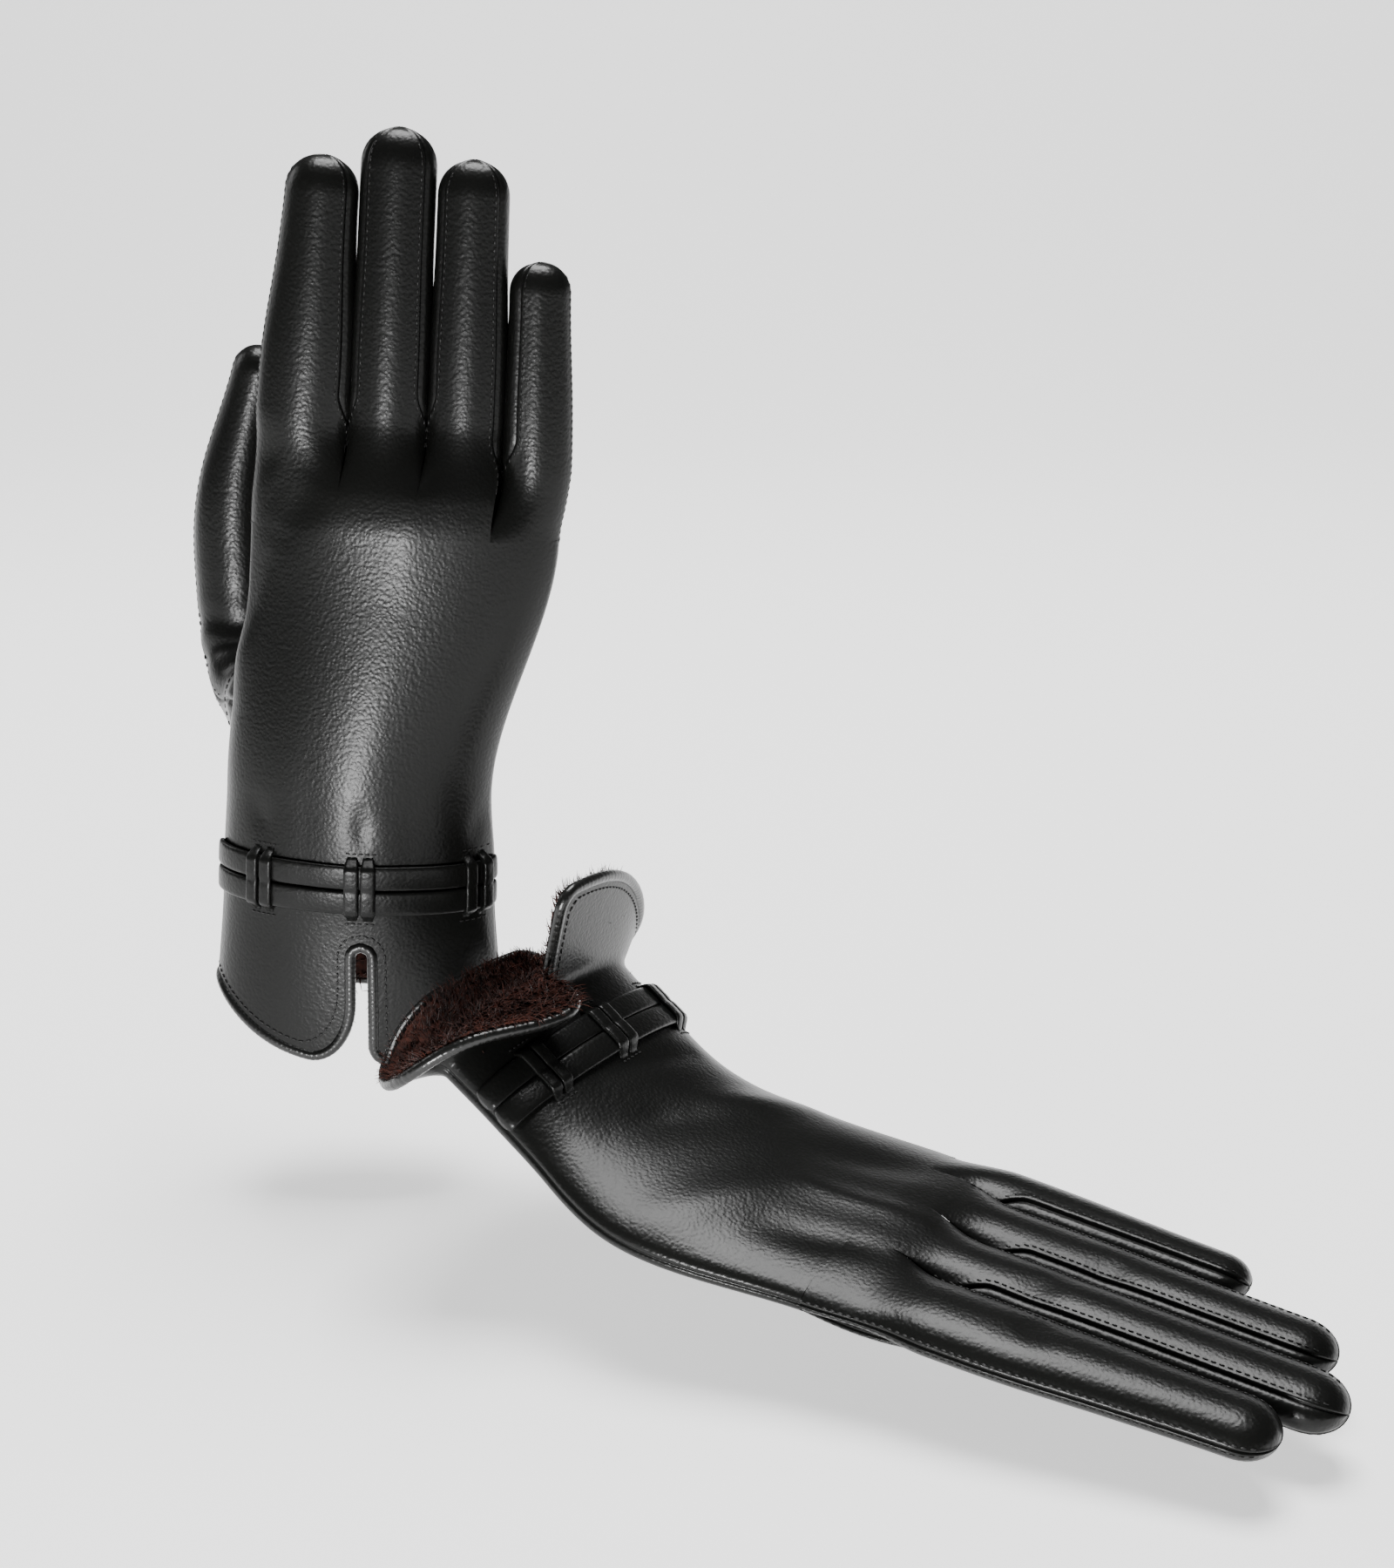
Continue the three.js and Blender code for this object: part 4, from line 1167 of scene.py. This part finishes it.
@dataclass
class ThumbShell(SubAssembly):
    """The thumb: two halves sewn along its sides, rising from its seat on the palm."""

    pitch: float = 1.4

    def half(self, start: float, name: str) -> bpy.types.Object:
        """One half of the thumb, from an angle round it to the opposite one."""
        width = 34.0

        def place(column: np.ndarray, share: np.ndarray) -> np.ndarray:
            """A point of the thumb's leather."""
            away = np.minimum(column, 1 - column) * width
            edge = 0.2 * np.exp(-(((away - 1.5) / 0.9) ** 2)) - 0.5 * np.exp(-((away / 0.5) ** 2))
            theta = start + math.pi * column
            ripple = np.sin(share * 62.0 + np.sin(theta * 2.0) * 1.4) * np.exp(-(((share - 0.22) / 0.1) ** 2))
            return self.pattern.thumb(theta, share, edge + 0.32 * ripple)

        bm = bmesh.new()
        columns = marks(0.0, 1.0, self.pitch / width, (0.008, 0.018, 0.03, 0.045))
        spine = self.pattern.thumb_spine()
        length = float(np.linalg.norm(np.diff(spine, axis=0), axis=1).sum())
        cap = self.pattern.fit.thumb.tip_width / 2 / length
        lower = np.linspace(0.0, 1.0 - cap, int(length / self.pitch))
        rows = np.concatenate([lower, 1.0 - cap + cap * np.sin(np.linspace(0.0, math.pi / 2, 11)[1:])])
        laid_grid(bm, columns, rows, place)
        core = spine[len(spine) // 2]
        return leather_object(f"{self.side} thumb {name}", bm, 0.0,
                              self.pattern.lie.place(core[0], core[1], core[2]))

    def stitches(self) -> bpy.types.Object:
        """Stitches along both seams and round the seat."""
        sewn = Scatter()
        spine = self.pattern.thumb_spine()
        length = float(np.linalg.norm(np.diff(spine, axis=0), axis=1).sum())
        share = np.linspace(0.08, 0.955, int(length * 0.87 / STITCH_PITCH))
        for middle in (0.0, math.pi):
            for sign in (-1.0, 1.0):
                theta = np.full_like(share, middle + sign * 0.17)
                self._sew(sewn, theta, share, (0.0, 0.004))
        ring = np.linspace(0.0, 2 * math.pi, 44, endpoint=False)
        self._sew(sewn, ring, np.full_like(ring, 0.05), (0.02, 0.0))
        return sewn.build(f"{self.side} thumb stitches", stitch_shape())

    def _sew(self, sewn: Scatter, theta: np.ndarray, share: np.ndarray, step: tuple[float, float]) -> None:
        """Adds a row of stitches along the thumb's seam."""
        spots = self.pattern.thumb(theta, share, STITCH_LIFT)
        over = self.pattern.thumb(theta, share, STITCH_LIFT + 1.0)
        ahead = self.pattern.thumb(theta + step[0], share + step[1], STITCH_LIFT) - spots
        sewn.add(spots, ahead, over - spots, SEAM_STITCH)

    def build(self) -> None:
        """Makes the halves and the stitches."""
        node = f"{self.side}_thumb"
        self.pieces["outer"] = self.half(0.0, "outer")
        self.pieces["inner"] = self.half(math.pi, "inner")
        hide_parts(f"{node}_outer", f"{node}_lining")
        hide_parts(f"{node}_inner")
        self.pieces["stitches"] = self.stitches()
        spot, facing = self.pattern.seat()
        far = spot + facing * THUMB_BEND_REACH
        start = self.pattern.lie.place(spot[0], spot[1], spot[2])
        end = self.pattern.lie.place(far[0], far[1], far[2])
        for piece in self.pieces.values():
            self.hand
            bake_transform(piece)


@dataclass
class CuffTrim(SubAssembly):
    """The rolled binding round the hem and the notch, with its row of stitches."""

    def edge(self, inset: float) -> np.ndarray:
        """(angle, at) along the hem and notch, a distance into the leather, starting at the outer side."""
        route: list[np.ndarray] = []
        for near in (False, True):
            at = inset + (VENT_LENGTH - 1e-3) * (1.0 - np.cos(np.linspace(0.0, math.pi / 2, 60)))
            angle = self.pattern.angle_at(self.pattern.vent_edge(at, near, inset), 20.0)
            climb = self.pattern.hem(angle) * (1.0 - smooth(at, inset, inset + 12.0))
            rise = np.stack([angle, at + climb], axis=-1)
            hem_angle = np.linspace(math.pi if near else 0.0, rise[0, 0], 27)[:-1]
            hem = np.stack([hem_angle, self.pattern.hem(hem_angle) + inset], axis=-1)
            leg = np.concatenate([hem, rise])
            route.append(leg[::-1] if near else leg)
        palm = np.linspace(math.pi, 2 * math.pi, 60)[1:-1]
        route.append(np.stack([palm, self.pattern.hem(palm) + inset], axis=-1))
        return np.concatenate(route)

    def build(self) -> None:
        """Makes the rolled edge and the stitch line inside it."""
        depth = 0.75
        route = self.edge(PIPING * 0.45)
        path = self.pattern.hand(route[:, 0], route[:, 1], -depth)
        path = even(np.concatenate([path, path[:1]]), 620)[:-1]
        binding = tube(f"{self.side} rolled binding", path, PIPING * 0.56 * MM, 14, 0.035)
        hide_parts(f"{self.side}_cuff_binding")
        self.pieces["binding"] = binding
        sewn = Scatter()
        route = self.edge(PIPING + 1.9)
        outer = self.pattern.hand(route[:, 0], route[:, 1], STITCH_LIFT)
        over = self.pattern.hand(route[:, 0], route[:, 1], STITCH_LIFT + 1.0)
        joined = even(np.concatenate([outer, over], axis=1), 2400)
        length = np.linalg.norm(np.diff(joined[:, :3], axis=0), axis=1).sum()
        picks = np.linspace(2, len(joined) - 3, int(length / MM / STITCH_PITCH)).astype(int)
        ahead = joined[picks + 1, :3] - joined[picks - 1, :3]
        sewn.add(joined[picks, :3], ahead, joined[picks, 3:] - joined[picks, :3], HEM_STITCH)
        self.pieces["stitches"] = sewn.build(f"{self.side} hem stitches", stitch_shape())
        for piece in self.pieces.values():
            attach(piece, self.hand)

    def dress(self, wardrobe: Wardrobe) -> None:
        """Puts the finishes on."""
        wardrobe.put(self.pieces["binding"], wardrobe.piping, Coat.PIPING)
        wardrobe.put(self.pieces["stitches"], wardrobe.thread, Coat.LEATHER)


@dataclass(frozen=True)
class Keeper:
    """A pair of narrow loops that hold the strap."""

    name: str
    across: float
    width: float


KEEPERS = (Keeper("thumb_side", -26.0, 7.6), Keeper("centre", 1.5, 8.8), Keeper("outer", 32.0, 7.6))


@dataclass
class WristStrap(SubAssembly):
    """Two strands side by side across the wrist, under three keepers."""

    def ribbon(self, name: str, spots: np.ndarray, sideways: np.ndarray, up: np.ndarray,
               width: np.ndarray, thickness: np.ndarray) -> bpy.types.Object:
        """A crowned band of folded leather along spots, closed at both ends.

        Args:
            name: The piece's name.
            spots: Its middle line, in metres.
            sideways: Its width's direction at each spot.
            up: Its face's direction at each spot.
            width: In metres at each spot.
            thickness: In metres at each spot.

        Returns:
            The piece.
        """
        sides, squared, crowned = 20, 0.42, 0.8

        def place(column: np.ndarray, row: np.ndarray) -> np.ndarray:
            """A point of the folded band."""
            i = row.astype(int)
            angle = column / sides * 2 * math.pi
            x = np.sign(np.cos(angle)) * np.abs(np.cos(angle)) ** squared * width[i] / 2
            z = np.sign(np.sin(angle)) * np.abs(np.sin(angle)) ** crowned * thickness[i] / 2
            return spots[i] + sideways[i] * x[:, None] + up[i] * z[:, None]

        bm = bmesh.new()
        laid_grid(bm, np.arange(sides + 1), np.arange(len(spots)), place)
        bmesh.ops.remove_doubles(bm, verts=bm.verts, dist=1e-6)
        bmesh.ops.holes_fill(bm, edges=bm.edges, sides=0)
        return leather_object(name, bm, 0.0, merge=1e-6)

    def strand(self, name: str, sign: float) -> bpy.types.Object:
        """One strand of the strap, above (1) or below (-1) the middle."""
        angle = np.linspace(0.03, math.pi - 0.03, 90)
        middle = STRAP_AT + sign * (STRAP_GAP + STRAP_WIDTH) / 2
        lift = 0.3 + STRAP_THICKNESS / 2 - 1.2 * (1 - smooth(np.sin(angle), 0.0, 0.22))
        spots = self.pattern.hand(angle, np.full_like(angle, middle), lift)
        up = unit(self.pattern.hand(angle, np.full_like(angle, middle), lift + 1.0) - spots)
        sideways = unit(self.pattern.hand(angle, np.full_like(angle, middle + 1.0), lift) - spots)
        end = 0.35 + 0.65 * smooth(np.sin(angle), 0.0, 0.16)
        return self.ribbon(f"{self.side} strap {name} strand", spots, sideways, up,
                           STRAP_WIDTH * MM * end, STRAP_THICKNESS * MM * end)

    def keeper(self, keeper: Keeper) -> list[bpy.types.Object]:
        """The two loops of one keeper."""
        reach = STRAP_GAP / 2 + STRAP_WIDTH
        at = np.linspace(-reach - 2.2, reach + 2.2, 34)
        over = 0.3 + STRAP_THICKNESS + KEEPER_THICKNESS / 2
        away = reach - np.abs(at)
        lift = mixed(-0.3, over, smooth(away, -2.0, 1.2)) - 0.22 * np.exp(-((at / 1.1) ** 2))
        loops = []
        for sign in (-1.0, 1.0):
            across = keeper.across + sign * keeper.width / 4
            angle = self.pattern.angle_at(across, STRAP_AT) + np.zeros_like(at)
            spots = self.pattern.hand(angle, STRAP_AT + at, lift)
            up = unit(self.pattern.hand(angle, STRAP_AT + at, lift + 1.0) - spots)
            ahead = unit(np.gradient(spots, axis=0))
            sideways = unit(np.cross(ahead, up))
            up = np.cross(sideways, ahead)
            width = (keeper.width / 2 - 0.25) * MM * (0.72 + 0.28 * smooth(away, -2.2, 1.0))
            thick = KEEPER_THICKNESS * MM * (0.6 + 0.4 * smooth(away, -2.2, 0.0))
            loops.append(self.ribbon(f"{self.side} {keeper.name} loop {int(sign > 0)}", spots, sideways, up,
                                     width, thick))
        return loops

    def build(self) -> None:
        """Makes the strands and the keepers."""
        for name, sign in (("upper", 1.0), ("lower", -1.0)):
            strand = self.strand(name, sign)
            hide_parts(f"{self.side}_strap_{name}")
            self.pieces[name] = strand
        for keeper in KEEPERS:
            for number, loop in enumerate(self.keeper(keeper)):
                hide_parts(f"{self.side}_keeper_{keeper.name}")
                self.pieces[f"{keeper.name} {number}"] = loop
        self.pieces["stitches"] = self.stitches()
        for piece in self.pieces.values():
            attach(piece, self.hand)

    def stitches(self) -> bpy.types.Object:
        """Stitches beside the strap's edges, where its folded leather is closed."""
        sewn = Scatter()
        for keeper in KEEPERS:
            for at in (STRAP_AT - STRAP_WIDTH - 3.4, STRAP_AT + STRAP_WIDTH + 3.4):
                across = keeper.across + np.linspace(-0.5, 0.5, 5) * keeper.width * 0.8
                angle = self.pattern.angle_at(across, at)
                spots = self.pattern.hand(angle, at, 0.15)
                over = self.pattern.hand(angle, at, 1.15)
                ahead = self.pattern.hand(angle - 0.01, at, 0.15) - spots
                sewn.add(spots, ahead, over - spots, KEEPER_STITCH)
        return sewn.build(f"{self.side} keeper stitches", stitch_shape())


@dataclass
class FurLining(SubAssembly):
    """Fur that stands on the lining near the hem, where the cuff shows its inside."""

    count: int
    seed: int

    def build(self) -> None:
        """Sets locks of fur over the lining of the cuff, from the hem up."""
        chance = np.random.default_rng(self.seed)
        angle = chance.uniform(0.0, 2 * math.pi, self.count)
        share = chance.uniform(0.0, 1.0, self.count)
        bottom = self.pattern.hem(angle) + PIPING * 0.7
        at = bottom + share * (FOLD_AT + 8.0 - bottom)
        on_back = angle < math.pi
        across = self.pattern.section(at)[0] + self.pattern.section(at)[1] * np.cos(angle)
        near = self.pattern.vent_edge(at, True, 1.2)
        far = self.pattern.vent_edge(at, False, 1.2)
        kept = ~(on_back & (across > near) & (across < far) & (at < VENT_LENGTH + 1.2))
        angle, at = angle[kept], at[kept]
        depth = LEATHER + PLY_GAP * 0.6 + LINING * 0.5
        roots = self.pattern.hand(angle, at, -depth)
        inward = unit(self.pattern.hand(angle, at, -depth - 1.0) - roots)
        downward = unit(self.pattern.hand(angle, at - 1.0, -depth) - roots)
        wild = chance.normal(0.0, 0.32, roots.shape)
        lean = unit(inward * 0.9 + downward * chance.uniform(0.25, 0.9, len(roots))[:, None] + wild)
        length = chance.uniform(2.2, 4.2, len(roots))
        thick = chance.uniform(0.5, 0.95, len(roots))
        size = np.stack([length, thick, thick * 0.7], axis=-1) * MM
        locks = Scatter()
        locks.add(roots, lean, inward, size)
        fur = locks.build(f"{self.side} cuff fur", hair_shape())
        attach(fur, self.hand)
        self.pieces["fur"] = fur

    def dress(self, wardrobe: Wardrobe) -> None:
        """Puts the finish on."""
        wardrobe.put(self.pieces["fur"], wardrobe.fur, Coat.FUR)


@dataclass
class Glove:
    """One whole glove: its pattern and its sub-assemblies."""

    fit: Fit
    lie: Lie
    fur_count: int
    seed: int

    def make(self, wardrobe: Wardrobe) -> None:
        """Builds and dresses every sub-assembly."""
        pattern = Pattern(self.fit, self.lie)
        parts = [HandShell(pattern), CuffTrim(pattern), WristStrap(pattern), ThumbShell(pattern)]
        parts += [FingerShell(pattern, laid) for laid in pattern.fingers]
        parts.append(FurLining(pattern, self.fur_count, self.seed))
        for part in parts:
            part.build()
            part.dress(wardrobe)
        log.info("%s glove made", self.fit.side)


STANDING_FOLDS = (
    Fold((-22.0, 150.0), (-15.0, 163.0), 5.0, -0.9),
    Fold((-30.0, 158.0), (-24.0, 168.0), 3.0, 0.5),
    Fold((-37.0, 104.0), (-33.0, 122.0), 3.2, 0.8),
    Fold((-36.0, 118.0), (-29.0, 140.0), 3.0, -0.7),
    Fold((-26.0, 66.0), (-28.0, 74.0), 2.6, -0.5),
    Fold((1.5, 65.0), (1.0, 74.0), 2.8, -0.5),
    Fold((31.0, 65.0), (33.0, 74.0), 2.6, -0.5),
    Fold((-14.0, 66.0), (14.0, 66.0), 20.0, 1.3),
    Fold((10.0, 140.0), (12.0, 165.0), 6.0, 0.3),
    Fold((-2.0, 70.0), (6.0, 120.0), 10.0, 0.4),
)
LYING_FOLDS = (
    Fold((-20.0, 80.0), (10.0, 95.0), 7.0, -1.1),
    Fold((-28.0, 110.0), (0.0, 128.0), 7.0, 0.9),
    Fold((0.0, 88.0), (35.0, 104.0), 7.0, 1.2),
    Fold((15.0, 120.0), (30.0, 150.0), 7.0, -0.8),
    Fold((-18.0, 132.0), (-12.0, 160.0), 5.0, -1.0),
    Fold((0.0, 130.0), (6.0, 160.0), 5.0, 1.0),
    Fold((-12.0, 62.0), (22.0, 70.0), 4.0, -1.0),
    Fold((-5.0, 195.0), (5.0, 200.0), 5.0, -0.7),
    Fold((15.0, 205.0), (24.0, 212.0), 5.0, -0.6),
    Fold((-22.0, 200.0), (-14.0, 208.0), 6.0, -0.7),
)


# ---- Studio ------------------------------------------------------------------------------------------
@dataclass(frozen=True)
class Lamp:
    """A soft lamp, square unless it has a height."""

    name: str
    spot: tuple[float, float, float]
    aim: tuple[float, float, float]
    size: float
    power: float
    height: float | None = None

    def hang(self) -> None:
        """Puts the lamp in the scene."""
        data = bpy.data.lights.new(self.name, "AREA")
        data.shape = "RECTANGLE"
        data.size = self.size
        data.size_y = self.height or self.size
        data.energy = self.power
        lamp = bpy.data.objects.new(self.name, data)
        lamp.location = self.spot
        run = _vector(np.array(self.aim)) - _vector(np.array(self.spot))
        lamp.rotation_euler = run.to_track_quat("-Z", "Y").to_euler()
        bpy.context.scene.collection.objects.link(lamp)


@dataclass(frozen=True)
class Studio:
    """The camera, the pale floor and the soft lights."""

    eye: tuple[float, float, float] = (0.098, -0.596, 0.2477)
    tilt: float = 16.0
    lens: float = 50.37
    floor_reach: float = 6.0
    bend_at: float = 1.6
    bend_radius: float = 1.4
    backdrop_height: float = 0.62
    floor_rows: int = 120
    floor_glow: float = 1.0
    world_glow: float = 0.06

    def camera(self) -> None:
        """Places the camera."""
        data = bpy.data.cameras.new("camera")
        data.sensor_fit = "VERTICAL"
        data.sensor_height = 36.0
        data.lens = self.lens
        data.clip_start = 0.01
        camera = bpy.data.objects.new("camera", data)
        camera.location = self.eye
        camera.rotation_euler = (math.radians(90.0 - self.tilt), 0.0, 0.0)
        bpy.context.scene.collection.objects.link(camera)
        bpy.context.scene.camera = camera

    def floor(self, level: float) -> None:
        """Lays the floor at a level, curving up into a backdrop behind."""
        bm = bmesh.new()

        def place(column: np.ndarray, row: np.ndarray) -> np.ndarray:
            """A point of the floor, in metres."""
            turn = np.maximum(row - self.bend_at, 0.0) / self.bend_radius
            y = np.minimum(row, self.bend_at) + self.bend_radius * np.sin(turn)
            z = level + self.bend_radius * (1 - np.cos(turn))
            return np.stack([column, y, z], axis=-1)

        stop = self.bend_at + self.bend_radius * math.acos(1 - self.backdrop_height / self.bend_radius)
        rows = np.linspace(-self.floor_reach, stop, self.floor_rows)
        laid_grid(bm, np.array([-self.floor_reach, 0.0, self.floor_reach]), rows, place)
        floor = leather_object("floor", bm, 0.0)
        n = Nodes("pale floor")
        pale, white = (0.8, 0.8, 0.8, 1.0), (1.0, 1.0, 1.0, 1.0)
        floor.data.materials.append(n.done(Base_Color=pale, Roughness=0.7, Emission_Color=white,
                                          Emission_Strength=self.floor_glow))
        floor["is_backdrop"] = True

    def light(self) -> None:
        """Hangs the lamps and sets the world's glow."""
        world = bpy.data.worlds.new("soft white")
        world.use_nodes = True
        background = world.node_tree.nodes["Background"]
        background.inputs["Color"].default_value = (1.0, 1.0, 1.0, 1.0)
        background.inputs["Strength"].default_value = self.world_glow
        bpy.context.scene.world = world
        Lamp("key", (-0.1, -0.62, -0.005), (0.01, 0.0, 0.06), 0.11, 4.6, 0.05).hang()
        Lamp("rim", (-0.9, 0.4, 0.6), (0.05, -0.05, 0.05), 0.5, 2.2).hang()
        Lamp("top", (0.1, 0.5, 2.4), (0.1, 0.3, 0.0), 1.4, 120.0).hang()


def main() -> None:
    """Makes the scene."""
    logging.basicConfig(level=logging.INFO, format="%(name)s: %(message)s")
    low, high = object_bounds()
    studio = Studio()
    studio.camera()
    wardrobe = Wardrobe.open()
    swung_thumb = ThumbCut(rise=18.0, flat=1.0, bulge=-43.0, tip_across=-35.0, seat=-0.78)
    tucked_thumb = ThumbCut(rise=8.0, flat=0.45, bulge=4.0, tip_across=14.0, seat=-0.25, gusset=0.2)
    standing = Fit(side="right", width=1.0, hand_depth=1.0, finger_depth=1.0, hand_stretch=1.0,
                   finger_stretch=1.0, thumb=swung_thumb, back_folds=STANDING_FOLDS)
    empty = Fit(side="left", width=1.04, hand_depth=0.6, finger_depth=0.76, hand_stretch=0.96,
                finger_stretch=1.2, thumb=tucked_thumb, back_folds=LYING_FOLDS,
                lapel_turn=155.0, far_turn=62.0, vent_at=-9.0, thenar=8.0)
    Glove(standing, Standing(), fur_count=3000, seed=11).make(wardrobe)
    Glove(empty, Lying(), fur_count=14000, seed=12).make(wardrobe)
    studio.floor(float(low[2]) - 0.001)
    studio.light()


if __name__ == "__main__":
    main()
